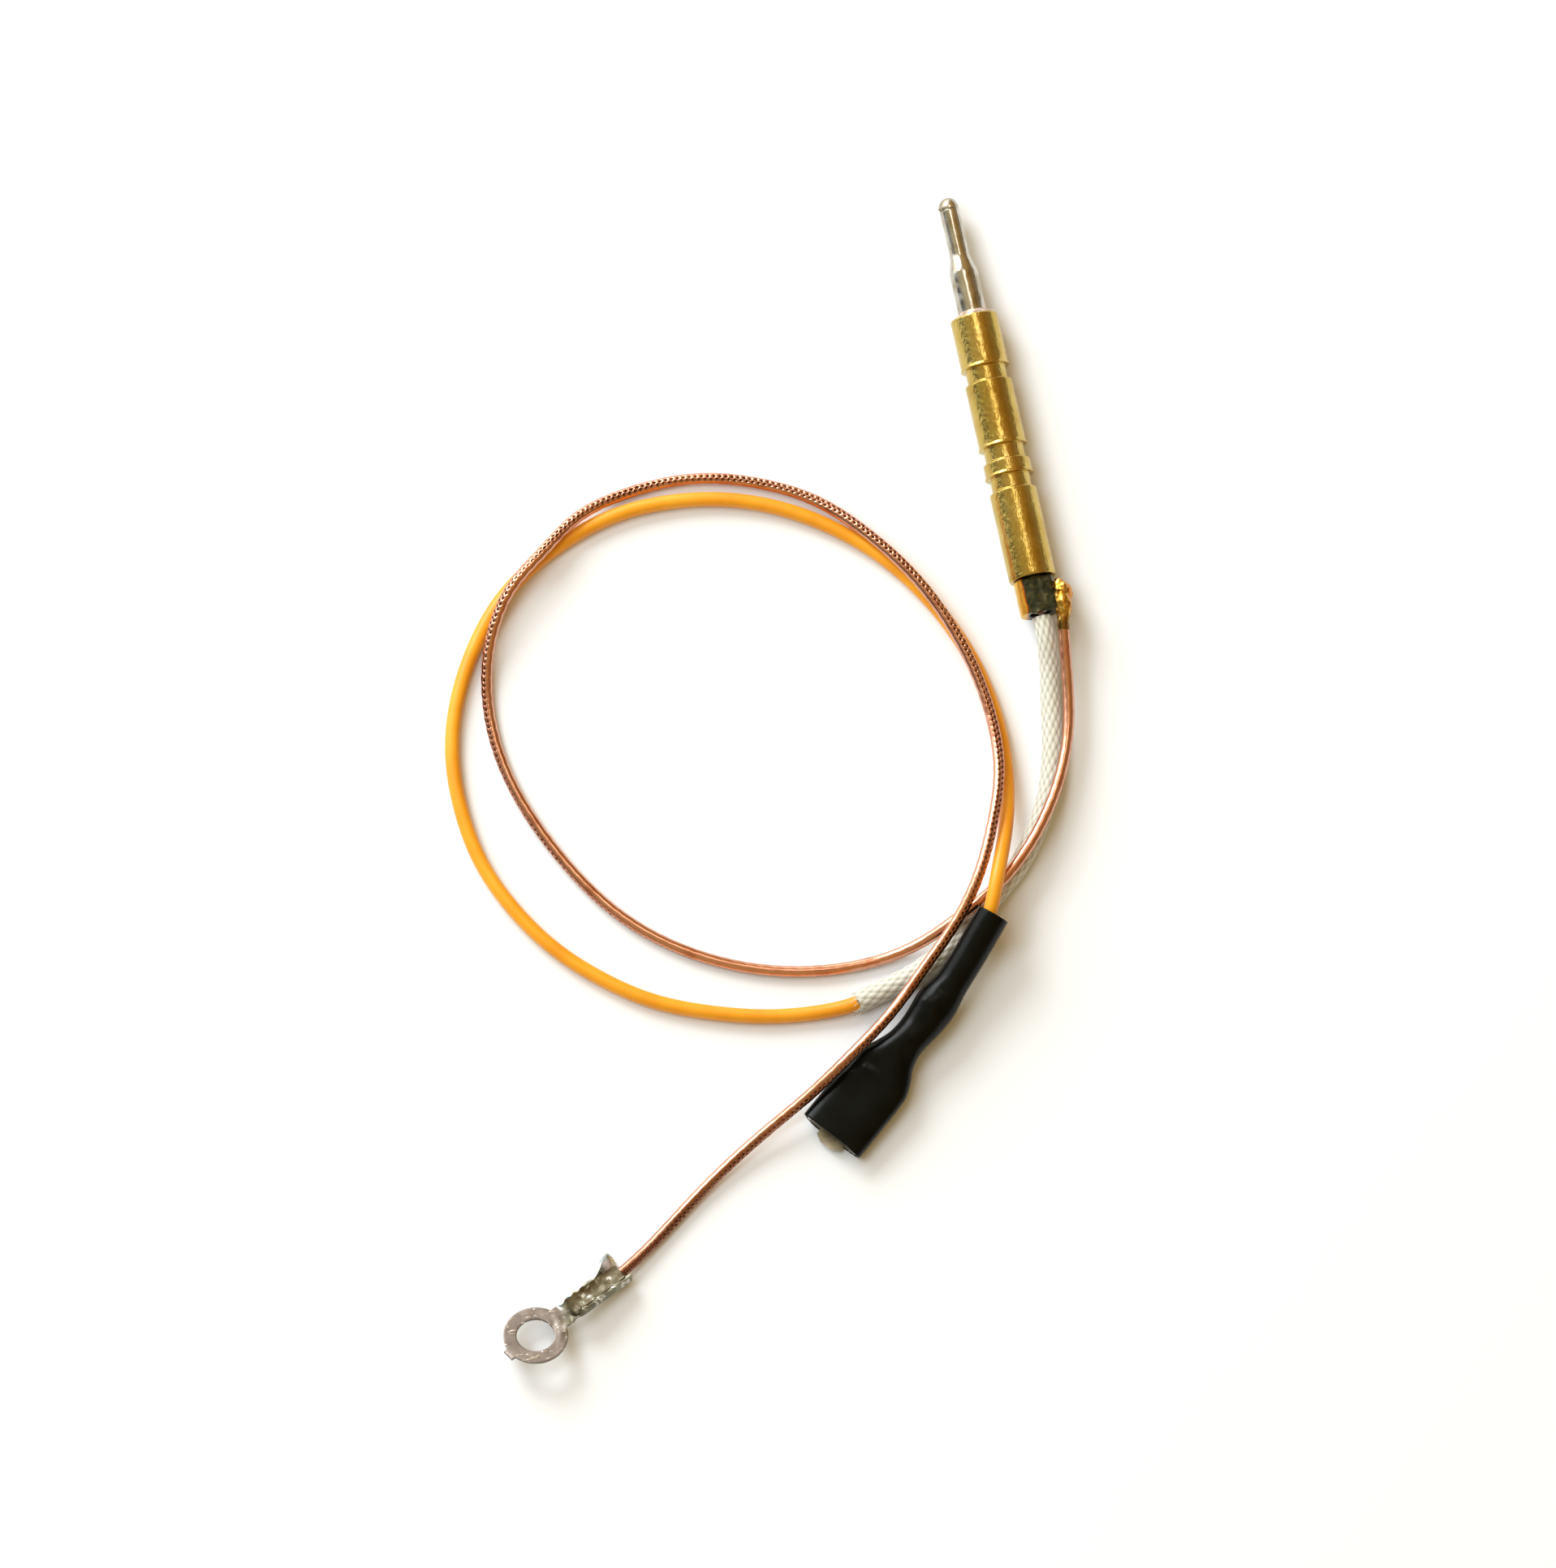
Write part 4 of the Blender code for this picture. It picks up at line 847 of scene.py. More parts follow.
# %% Woven glass
def woven_glass():
    """Glass yarn: warm white, with painted shade in the braid's valleys, and fine threads along it.
    """
    finish = Finish("woven_glass", roughness=0.72)
    finish.follow_surface()
    # Painted shade: grey in the valleys of the braid, lighter on the crowns of the yarns.
    painted_valley_shade = finish.painted(finish.marks(), [
        (0.2, 150, 146, 130), (0.55, 200, 199, 187), (1.0, 222, 222, 214),
    ])
    soiling = finish.noise(0.3, 4.0)
    finish.feed("Base Color", finish.mixed(
        finish.scaled(soiling, 0.4, 0.8, 0.0, 0.35), painted_valley_shade, screen(192, 184, 162)))
    threads = finish.noise(1.0, 2.0, finish.stretched((9.0, 9.0, 1.0), (0, 0, 0.75)))
    finish.bump(threads, 0.05, 0.6)
    finish.shader.inputs["Sheen Weight"].default_value = 0.25
    return finish


woven_glass().on(braided_sleeve, loose_fibres)
print("woven sleeve finished")

# %% [markdown]
# ## Turned parts
# The probe, the brass sleeve and the ferrule are turned on a lathe, so each is a profile carried
# round the probe's axis. Sharp corners are softened first, because a real edge always catches a
# line of light. Small unevenness round the piece keeps its reflections from looking drawn.

# %% Turning helpers
def softened(profile, radius, spacing, closed=False):
    """The profile's points with each corner rounded by a short parabola, and its straight
    stretches divided evenly."""
    corners = np.array(profile, dtype=float)
    count = len(corners)
    share = np.linspace(0.0, 1.0, 5)[:, None]
    pieces = []
    for number, corner in enumerate(corners):
        if not closed and number in (0, count - 1):
            pieces.append(corner[None])
            continue
        before = corners[number - 1] - corner
        after = corners[(number + 1) % count] - corner
        sizes = [np.linalg.norm(before), np.linalg.norm(after)]
        reach = [min(radius, 0.45 * size) / size for size in sizes]
        start, stop = corner + before * reach[0], corner + after * reach[1]
        pieces.append(
            (1 - share) ** 2 * start + 2 * share * (1 - share) * corner + share**2 * stop)
    path = np.concatenate(pieces)
    if closed:
        path = np.vstack([path, path[:1]])
    lengths = np.linalg.norm(np.diff(path, axis=0), axis=1)
    steps = np.maximum(1, np.ceil(lengths / spacing)).astype(int)
    filled = [
        np.linspace(start, stop, count, endpoint=False)
        for start, stop, count in zip(path[:-1], path[1:], steps)
    ]
    result = np.concatenate(filled)
    return result if closed else np.vstack([result, path[-1:]])


def turned_grid(profile, sides, growth=0.0):
    """Rings of a turned piece: (r cos(angle), distance along, axis height + r sin(angle)).

    growth is added to the radius, and is a number or a (points, sides) array.
    """
    angle = full_turn(sides)[None, :]
    radius = np.maximum(profile[:, 1:2] + growth, 0.0)
    along = np.broadcast_to(profile[:, :1], (len(profile), sides))
    return np.stack([radius * np.cos(angle), along, AXIS_HEIGHT + radius * np.sin(angle)], -1)


def on_axis(along):
    """A point of the probe's axis."""
    return np.array((0.0, along, AXIS_HEIGHT))


print("turning helpers ready, axis", AXIS_HEIGHT, "mm high")

# %% [markdown]
# ## Probe
# The tip is closed by a weld bead that leaves a seam and a small lump. The sheath behind it is
# swaged: hammered down from its full width to a narrow nose, which leaves the body faintly
# faceted along its length.

# %% Probe tip and sheath
NOSE_RADIUS = (cap_high[0] - cap_low[0]) / 2
SHEATH_RADIUS = (sheath_high[0] - sheath_low[0]) / 2
SHEATH_BORE = 1.45
NOSE_BORE = 0.86
NOSE_END = cap_low[1] - 6.0
SHOULDER_END = NOSE_END - 2.6
SEAM_GAP = 0.06
TIP_SIDES, BODY_SIDES = 96, 120


def make_probe_tip():
    """Dome, closed at its pole: radius times sin and length times cos of the same angle, with a
    small lump beside the seam and a slight unevenness."""
    dome = np.linspace(0.06, math.pi / 2, 26)
    length = cap_high[1] - cap_low[1]
    base = cap_low[1] - 0.3 + SEAM_GAP
    lower = np.array([(cap_low[1], NOSE_RADIUS), (base + 0.08, NOSE_RADIUS),
                      (base, NOSE_RADIUS - 0.09)])
    profile = np.vstack([
        np.stack([cap_low[1] + length * np.cos(dome), NOSE_RADIUS * np.sin(dome) ** 0.86], -1),
        softened(lower, 0.05, 0.05),
    ])
    angle = full_turn(TIP_SIDES)[None, :]
    along = profile[:, :1]
    lump = 0.16 * np.exp(-((along - cap_low[1] - 0.05) / 0.22) ** 2
                         - ((angle - math.radians(165)) / 0.2) ** 2)
    bead = 0.03 * unevenness(31, 12, 1.0, 4.0, along, *round_about(angle, NOSE_RADIUS))
    grid = turned_grid(profile, TIP_SIDES, lump + bead * np.minimum(1.0, profile[:, 1:2]))
    item = put_surface("probe_tip", grid, ends=(on_axis(cap_high[1]), on_axis(base)))
    return belongs(item, "weld_bead", "tip_weld_cap")


def make_probe_body():
    """Tube with a narrow nose, an S-shaped shoulder and a wider body. The body's radius is
    pressed in and out by long low facets."""
    front = cap_low[1] - 0.3
    share = np.linspace(0.0, 1.0, 14)[1:-1]
    rise = share**2 * (3 - 2 * share)
    outside = [(front, NOSE_BORE), (front, NOSE_RADIUS), (NOSE_END, NOSE_RADIUS)]
    outside += list(zip(NOSE_END + (SHOULDER_END - NOSE_END) * share,
                        NOSE_RADIUS + (SHEATH_RADIUS - NOSE_RADIUS) * rise))
    outside += [(SHOULDER_END, SHEATH_RADIUS), (sheath_low[1], SHEATH_RADIUS),
                (sheath_low[1], SHEATH_BORE), (SHOULDER_END, SHEATH_BORE), (NOSE_END, NOSE_BORE)]
    profile = softened(outside, 0.08, 0.14, closed=True)
    angle = full_turn(BODY_SIDES)[None, :]
    along = profile[:, :1]
    shown = (profile[:, 1:2] > NOSE_RADIUS - 0.1) & (along > MOUTH - 1)
    facets = 0.022 * unevenness(32, 16, 0.4, 3.4, 0.35 * along, *round_about(angle, 1.7))
    dents = 0.012 * unevenness(33, 22, 3.0, 9.0, 0.8 * along, *round_about(angle, 1.7))
    body = np.clip((NOSE_END - along) / 2.0, 0.25, 1.0)
    grid = turned_grid(profile, BODY_SIDES, np.where(shown, (facets + dents) * body, 0.0))
    item = put_surface("probe_body", grid, closed_along=True)
    return belongs(item, "sheath_steel", "probe_sheath")


probe_tip = make_probe_tip()
probe_body = make_probe_body()

# %% [markdown]
# ## Probe finish
# The probe works in a flame, so its steel is straw-coloured in clouds. Two finishes differ only
# in tint and roughness, because the weld bead is duller than the polished sheath.

# %% Probe steel
def probe_steel(name, tint, roughness):
    """Polished nickel-rich steel: warm silver clouded with straw tint from heat, very fine
    lines along the probe, and a scatter of small pits."""
    finish = Finish(name, metallic=1.0, roughness=roughness)
    clouds = finish.noise(500, 4.0)
    finish.feed("Base Color", finish.painted(clouds, [
        (0.32, 166, 152, 128), (0.5, *tint), (0.68, 206, 202, 192),
    ]))
    lines = finish.noise(1.0, 2.0, finish.stretched((7000, 260, 7000)))
    pits = finish.cells(4200)
    finish.rough(lines, roughness - 0.05, roughness + 0.1)
    finish.bump(lines, 0.008, 0.5)
    finish.bump(pits, 0.012, 0.35)
    return finish


probe_steel("probe_steel", (190, 184, 172), 0.17).on(probe_body)
probe_steel("weld_steel", (184, 178, 164), 0.24).on(probe_tip)
print("probe finished")

# %% [markdown]
# ## Braze ring
# The sheath is brazed into the mouth of the brass sleeve. The silver-rich braze ran out into an
# irregular pinkish ring with a small lump on one side.

# %% Braze ring at the mouth
RING_SIDES = 110
RING_HEIGHT = 0.74


def make_braze_ring():
    """Half-round fillet round the sheath, whose width and height vary round the ring."""
    bore = SHEATH_RADIUS + 0.02
    profile = softened([
        (MOUTH - 0.05, bore), (MOUTH + 0.75, bore), (MOUTH + 0.62, bore + 0.12),
        (MOUTH + 0.28, bore + 0.42), (MOUTH + 0.12, bore + 0.72),
        (MOUTH - 0.05, bore + RING_HEIGHT),
    ], 0.08, 0.07, closed=True)
    angle = full_turn(RING_SIDES)[None, :]
    out = (profile[:, 1:2] - bore) / RING_HEIGHT
    uneven = unevenness(41, 16, 0.6, 3.2, *round_about(angle, 2), profile[:, :1])
    lump = 0.30 * np.exp(-((angle - math.radians(28)) / 0.35) ** 2)
    grid = turned_grid(profile, RING_SIDES, out * (0.10 * uneven + lump))
    grid[:, :, 1] += out * 0.10 * uneven + 0.3 * lump * (profile[:, :1] > MOUTH)
    item = put_surface("mouth_braze", grid, closed_along=True)
    return belongs(item, "silver_braze", "probe_braze_ring")


mouth_braze = make_braze_ring()

# %% [markdown]
# ## Braze finish
# Braze freezes with a lumpy skin that shines on its high spots. One noise gives the shade, the
# roughness and the bumps, so that they all agree.

# %% Braze metal
def braze_metal(name, low, middle, high, roughness):
    """Frozen braze: bright metal in three shades, with lumps and tiny pits."""
    finish = Finish(name, metallic=1.0, roughness=roughness)
    lumps = finish.noise(1500, 4.0, distortion=0.6)
    finish.feed("Base Color", finish.painted(lumps, [
        (0.35, *low), (0.5, *middle), (0.68, *high)]))
    finish.rough(lumps, roughness + 0.12, roughness - 0.06)
    finish.bump(lumps, 0.09, 0.8)
    finish.bump(finish.noise(7000, 2.0), 0.015, 0.5)
    return finish


braze_metal("silver_braze", (190, 160, 138), (226, 204, 188), (244, 232, 222), 0.3).on(mouth_braze)
print("braze ring finished")

# %% [markdown]
# ## Brass sleeve
# The sleeve pushes into the burner's bracket, where a clip snaps into one of its three grooves.
# The parting tool raised a thin burr on the tip side of each groove. The burr's height varies
# round the sleeve, and the edge on the other side of the groove is broken to a bright line.

# %% Brass push-in sleeve
SLEEVE_RADIUS = 2.95
SLEEVE_BORE = 2.05
GROOVE_STARTS = (6.65, 16.9, 20.7)
GROOVE_WIDTH = 1.9
GROOVE_DEPTH = 0.45
BURR_WIDTH = 0.4
BURR_HEIGHT = 0.1
SLEEVE_SIDES = 132


def make_brass_sleeve():
    """Turned tube with three grooves. The burrs swell and sink round the sleeve, and the whole
    surface carries shallow ripples from the drawing of the tube."""
    profile = [(MOUTH, SLEEVE_BORE), (MOUTH, SLEEVE_RADIUS - 0.12),
               (MOUTH - 0.15, SLEEVE_RADIUS)]
    for start in GROOVE_STARTS:
        edge = MOUTH - start
        floor = SLEEVE_RADIUS - GROOVE_DEPTH
        back = edge - GROOVE_WIDTH
        profile += [
            (edge + BURR_WIDTH, SLEEVE_RADIUS), (edge + 0.12, SLEEVE_RADIUS + BURR_HEIGHT),
            (edge, SLEEVE_RADIUS + 0.6 * BURR_HEIGHT), (edge - 0.05, floor), (back + 0.12, floor),
            (back + 0.02, SLEEVE_RADIUS - 0.12), (back - 0.12, SLEEVE_RADIUS),
        ]
    profile += [(TAIL + 0.2, SLEEVE_RADIUS), (TAIL, SLEEVE_RADIUS - 0.12), (TAIL, SLEEVE_BORE)]
    profile = softened(profile, 0.06, 0.2, closed=True)
    angle = full_turn(SLEEVE_SIDES)[None, :]
    along = profile[:, :1]
    outer = profile[:, 1:2] > SLEEVE_BORE + 0.3
    wall = round_about(angle, SLEEVE_RADIUS)
    ripples = 0.011 * unevenness(51, 26, 0.5, 5.5, 0.22 * along, *wall)
    speckle = 0.0045 * unevenness(52, 30, 6.0, 13.0, 0.7 * along, *wall)
    proud = np.clip((profile[:, 1:2] - SLEEVE_RADIUS) / BURR_HEIGHT, 0.0, 1.0)
    burr = proud * 0.05 * unevenness(53, 12, 0.8, 3.4, *wall, along)
    grid = turned_grid(profile, SLEEVE_SIDES, np.where(outer, ripples + speckle + burr, 0.0))
    item = put_surface("brass_sleeve", grid, closed_along=True)
    return belongs(item, "yellow_brass", "mounting_sleeve")


brass_sleeve = make_brass_sleeve()

# %% [markdown]
# ## Brass finish
# Drawn brass is bright but never perfect: tiny pits are stretched along the tube, and a faint
# lathe line crosses them. Those two bumps break the reflections up, as on the real sleeve.

# %% Yellow brass
def yellow_brass():
    """Bright brass tube: gold that drifts to copper in soft patches, speckled by fine pits that
    were drawn out along it, and crossed by faint lathe lines."""
    finish = Finish("yellow_brass", metallic=1.0, roughness=0.16)
    patches = finish.noise(260, 3.0)
    gold = finish.painted(patches, [
        (0.3, 188, 158, 78), (0.5, 196, 168, 90), (0.62, 204, 178, 102),
        (0.75, 194, 150, 84),
    ])
    stains = finish.scaled(finish.noise(900, 5.0), 0.62, 0.78, 0.0, 0.45)
    finish.feed("Base Color", finish.mixed(stains, gold, screen(150, 92, 34)))
    grain = finish.noise(1.0, 4.0, finish.stretched((3600, 1700, 3600)))
    lathe = finish.noise(1.0, 1.0, finish.stretched((250, 16000, 250)))
    finish.rough(grain, 0.10, 0.26)
    finish.bump(grain, 0.045, 0.9)
    finish.bump(lathe, 0.010, 0.35)
    return finish


yellow_brass().on(brass_sleeve)
print("brass sleeve finished")

# %% [markdown]
# ## Ferrule and lead braze
# The ferrule closes the tail and grips the woven sleeve. It was pressed flat on top, and the flat
# is painted with a dark reflection and glints, with bare brass beside it. The copper lead is brazed
# to its side in a lumpy bead of gold-coloured braze.

# %% Tail ferrule
FERRULE_RADIUS = (ferrule_high[0] - ferrule_low[0]) / 2
FERRULE_BORE = 1.34
FLAT_DEPTH = 0.9
FLAT_TILT = math.radians(-6.0)
FLAT_BLEND = 0.07
FERRULE_NECK = 1.72
FERRULE_SIDES = 140


def make_ferrule():
    """Turned ferrule whose radius is the smaller of the round one and the flat's, which is the
    flat's height divided by the cosine of the angle from its middle, blended softly."""
    profile = softened([
        (TAIL + 3.6, FERRULE_BORE), (TAIL + 3.6, FERRULE_NECK), (TAIL - 0.12, FERRULE_NECK),
        (TAIL - 0.12, FERRULE_RADIUS), (ferrule_low[1], FERRULE_RADIUS),
        (ferrule_low[1], FERRULE_BORE),
    ], 0.12, 0.12, closed=True)
    angle = full_turn(FERRULE_SIDES)[None, :]
    from_flat = np.cos(angle - math.pi / 2 - FLAT_TILT)
    flat = (FERRULE_RADIUS - FLAT_DEPTH) / np.maximum(from_flat, 0.2)
    radius = np.broadcast_to(profile[:, 1:2], (len(profile), FERRULE_SIDES))
    blend = np.clip(0.5 + 0.5 * (flat - radius) / FLAT_BLEND, 0.0, 1.0)
    pressed = flat * (1 - blend) + radius * blend - FLAT_BLEND * blend * (1 - blend)
    outside = profile[:, 1:2] > FERRULE_NECK + 0.03
    dents = 0.03 * unevenness(61, 16, 0.6, 3.0, profile[:, :1], *round_about(angle, 2.4))
    growth = np.where(outside & (from_flat > 0), pressed - radius, 0.0)
    growth = growth + np.where(outside, dents, 0.0)
    grid = turned_grid(profile, FERRULE_SIDES, growth)
    item = put_surface("crimped_ferrule", grid, closed_along=True)
    return belongs(item, "ferrule_steel", "tail_ferrule")


crimped_ferrule = make_ferrule()

# %% [markdown]
# ## Ferrule finish
# A dark grey-green on the flat is its painted reflection, with painted glints, and the bare brass
# beside it is yellow behind a line of orange. The line follows the distance across the ferrule,
# made wavy by noise.

# %% Ferrule with a painted dark flat
def painted_flat_ferrule():
    """Dark green-grey on the flat as a painted reflection, with painted glints, and bare brass
    down the left side behind a thin orange line of heat colour."""
    finish = Finish("painted_flat_ferrule", metallic=1.0, roughness=0.3)
    clouds = finish.noise(1100, 5.0, distortion=0.8)
    # Painted reflection: the flat is coloured dark grey-green, and the ramp's top stop paints
    # glints.
    scale = finish.painted(clouds, [
        (0.3, 40, 46, 38), (0.48, 62, 68, 56), (0.62, 82, 82, 62),
        (0.78, 150, 142, 106),
    ])
    wobble = finish.noise(700, 3.0)
    side = finish.nodes.new("ShaderNodeMath")
    side.operation = "MULTIPLY_ADD"
    finish.links.new(wobble, side.inputs[0])
    side.inputs[1].default_value = 0.5 * MM
    finish.links.new(finish.axis("X"), side.inputs[2])
    place = finish.scaled(side.outputs[0], -2.4 * MM, 0.6 * MM)
    base = finish.painted(place, [
        (0.0, 226, 186, 84), (0.30, 216, 166, 60), (0.35, 184, 92, 30),
        (0.41, 120, 78, 40),
    ])
    finish.feed("Base Color", finish.mixed(finish.scaled(place, 0.36, 0.42), base, scale))
    finish.rough(clouds, 0.42, 0.2)
    finish.bump(clouds, 0.05, 0.6)
    finish.bump(finish.noise(6000, 2.0), 0.012, 0.5)
    return finish


painted_flat_ferrule().on(crimped_ferrule)
print("ferrule finished")

# %% [markdown]
# ## Bead of braze
# The copper lead lies against the ferrule, and the braze that holds it ran some way down the
# wire. It is a short fat tube along the wire with a lumpy radius, pushed out of the ferrule's wall.

# %% Lump of braze on the copper lead
BRAZE_PATH = (
    (2.75, -23.35, 3.75), (3.0, -24.1, 4.0), (3.12, -25.3, 4.15), (2.85, -26.6, 4.45),
    (2.62, -27.7, 4.42), (2.42, -28.9, 4.27), (2.28, -29.9, 4.12),
)
BRAZE_STEP, BRAZE_SIDES = 0.085, 84
# Share of the way along the bead, and the bead's radius there.
BRAZE_RADII = (
    (0.0, 0.35), (0.06, 0.8), (0.2, 1.12), (0.42, 1.1), (0.6, 0.9), (0.8, 0.8), (1.0, 0.71),
)


def make_lead_braze():
    """Tube along a short path from the ferrule's shoulder down the copper lead. Its radius
    follows the bead's outline times an unevenness, and it stops at the ferrule's wall."""
    points, along = smooth_path(BRAZE_PATH, BRAZE_STEP)
    share = along / along[-1]
    angle = full_turn(BRAZE_SIDES)[None, :]
    outline = np.interp(share, *np.transpose(BRAZE_RADII))[:, None]
    places = (along[:, None], *round_about(angle, 1.1))
    lumps = 0.17 * unevenness(62, 16, 1.2, 3.4, *places)
    lumps = lumps + 0.06 * unevenness(63, 24, 4.0, 9.0, *places)
    fading = np.clip((1.0 - share) / 0.25, 0.1, 1.0)[:, None]
    radius = outline * (1 + lumps * fading)
    grid = tube_grid(points, radius, np.broadcast_to(angle, radius.shape))
    from_axis = grid[..., [0, 2]] - (0.0, AXIS_HEIGHT)
    reach = np.linalg.norm(from_axis, axis=-1, keepdims=True)
    beside = np.clip((grid[..., 1:2] - ferrule_low[1] + 0.5) / 0.5, 0.0, 1.0)
    wall = (FERRULE_RADIUS + 0.01) * beside
    grid[..., [0, 2]] = (0.0, AXIS_HEIGHT) + from_axis / reach * np.maximum(reach, wall)
    item = put_surface("lead_bead", grid, ends=(grid[0].mean(0), grid[-1].mean(0)))
    return belongs(item, "gold_braze", "lead_braze")


lead_bead = make_lead_braze()

# %% [markdown]
# ## Gold braze finish
# The bead is gold on the sleeve's side, coppery outside and dull where it thins out down the
# wire, so two slow blends across it tint one lumpy gold.

# %% Gold braze
def gold_braze():
    """Gold braze that turns to copper colour on its outer side, glossy and lumpy."""
    finish = Finish("gold_braze", metallic=1.0, roughness=0.24)
    lumps = finish.noise(1300, 5.0, distortion=0.7)
    gold = finish.painted(lumps, [
        (0.32, 128, 78, 24), (0.48, 198, 144, 50), (0.66, 238, 200, 112)])
    outer = finish.scaled(finish.axis("X"), 3.3 * MM, 3.9 * MM, 0.0, 0.6)
    lower = finish.scaled(finish.axis("Y"), -27.6 * MM, -29.2 * MM, 0.0, 0.85)
    tinted = finish.mixed(outer, gold, screen(200, 118, 60))
    finish.feed("Base Color", finish.mixed(lower, tinted, screen(120, 92, 56)))
    finish.rough(lumps, 0.34, 0.16)
    finish.bump(lumps, 0.10, 0.8)
    return finish


gold_braze().on(lead_bead)
print("tail finished")

# %% [markdown]
# ## Heat-shrink tubing
# The tubing shrank round the lead at one end and round the wide receptacle at the other, with a
# bump over the insulation barrel and a sloping shoulder between. Its section changes from an
# ellipse to a rounded oblong. Both are one formula, the superellipse, whose squareness grows.

# %% Tubing over the receptacle
SHRINK_SIDES = 96
SHRINK_STEP = 0.2
SHRINK_RIM = 0.07
SMOOTHED_OVER = 13
SHRINK_ROUTE = (
    (-14, -63.5, 5.3), (-18.2, -68, 4.3), (-23.2, -72.75, 3.25), (-27.8, -76.5, 2.85),
    (-32, -79.95, 2.45), (-39.4, -86, 1.8),
)
SHRINK_WALL = 0.3
# Distance from the open front, half width, half height, squareness, sideways shift.
SHRINK_SECTIONS = np.array((
    (0.0, 4.38, 1.74, 2.9, 0.00), (7.0, 4.40, 1.76, 2.9, 0.00), (9.6, 4.32, 1.82, 2.7, 0.02),
    (11.2, 3.78, 1.95, 2.4, 0.14), (12.9, 2.85, 2.05, 2.3, 0.20), (14.7, 2.30, 2.08, 2.2, 0.08),
    (16.5, 2.30, 2.16, 2.1, -0.04), (18.3, 2.46, 2.28, 2.1, -0.06), (20.2, 2.66, 2.40, 2.0, 0.06),
    (21.6, 2.66, 2.38, 2.0, 0.12), (23.2, 2.28, 2.15, 2.0, 0.05), (24.6, 2.08, 2.05, 2.0, 0.0),
    (34.6, 2.06, 2.04, 2.0, 0.0),
))
# Dents and bumps: distance from the front, angle, height, size along, size round in degrees.
SHRINK_BUMPS = (
    (11.0, 46, 0.18, 1.0, 22), (7.7, 52, 0.15, 0.45, 9), (9.2, 78, 0.18, 0.6, 14),
    (13.6, 118, -0.16, 1.2, 26), (17.4, 80, -0.14, 1.3, 40), (20.3, 62, 0.22, 0.8, 22),
    (19.3, 110, 0.10, 0.9, 30), (22.7, 92, -0.14, 0.8, 30), (9.9, 118, 0.08, 0.9, 18),
)


def tubing_rings(points, from_front, inset):
    """Superellipse rings: cos and sin of the angle, each raised to 2 / squareness, times the
    half width and half height, with bumps added along the ring's own outward direction."""
    values = [
        np.interp(from_front, SHRINK_SECTIONS[:, 0], SHRINK_SECTIONS[:, column])[:, None]
        for column in range(1, 5)
    ]
    kernel = np.hanning(SMOOTHED_OVER)
    kernel /= kernel.sum()
    beyond = SMOOTHED_OVER // 2
    half_width, half_height, squareness, shift = (
        np.convolve(np.pad(value[:, 0], beyond, mode="edge"), kernel, mode="valid")[:, None]
        for value in values
    )
    angle = full_turn(SHRINK_SIDES)[None, :]
    cosine, sine = np.cos(angle), np.sin(angle)
    across = np.sign(cosine) * np.abs(cosine) ** (2 / squareness)
    upward = np.sign(sine) * np.abs(sine) ** (2 / squareness)
    growth = 0.02 * unevenness(71, 20, 0.3, 1.6, from_front[:, None], 2.6 * across, 2 * upward)
    for place, degrees, height, size, spread in SHRINK_BUMPS:
        turn = (np.degrees(angle) - degrees + 180) % 360 - 180
        growth = growth + height * np.exp(
            -((from_front[:, None] - place) / size) ** 2 - (turn / spread) ** 2)
    box = np.clip((10.5 - from_front[:, None]) / 2.5, 0.0, 1.0)
    dish = 0.05 * box * np.exp(-(across / 0.55) ** 4) * (upward > 0)
    right, up = path_frame(points)[1:]
    x = shift + across * (half_width - inset) + growth * across
    z = upward * (half_height - inset - dish) + growth * upward
    return points[:, None, :] + x[..., None] * right[:, None] + z[..., None] * up[:, None]


def make_tubing():
    """Outer wall from the lead to the open front, then the inner wall back, joined at both
    rims. The front is cut a little unevenly."""
    points, along = smooth_path(SHRINK_ROUTE, SHRINK_STEP)
    from_front = along[-1] - along
    forward = path_frame(points)[0]
    outer = tubing_rings(points, from_front, 0.0)
    inner = tubing_rings(points, from_front, SHRINK_WALL)
    for wall in (outer, inner):
        wall[0] += forward[0] * SHRINK_RIM
        wall[-1] -= forward[-1] * SHRINK_RIM
    middle_front = (outer[-1] + inner[-1]) / 2 + forward[-1] * SHRINK_RIM
    middle_back = (outer[0] + inner[0]) / 2 - forward[0] * SHRINK_RIM
    grid = np.concatenate([outer, middle_front[None], inner[::-1], middle_back[None]])
    angle = full_turn(SHRINK_SIDES)
    cut = 0.10 * unevenness(72, 6, 0.6, 2.4, *round_about(angle, 2))
    lay_along = np.concatenate([along, along[-1:], along[::-1], along[:1]])
    near_front = np.exp(-(along[-1] - lay_along) / 1.5)
    grid = grid + (near_front[:, None] * cut[None, :])[..., None] * forward[-1]
    grid[:, :, 2] = np.maximum(grid[:, :, 2], 0.01)
    lay_along = np.append(lay_along, lay_along[-1])
    item = put_surface("shrink_tubing", grid, closed_along=True,
                       lay=(lay_along, around(SHRINK_SIDES, 2.6)))
    return belongs(item, "black_tubing", "heat_shrink")


shrink_tubing = make_tubing()

# %% [markdown]
# ## Tubing finish
# The tubing is so black that only its shine gives it shape, so nearly all of its look is a low
# gloss whose roughness is mottled.

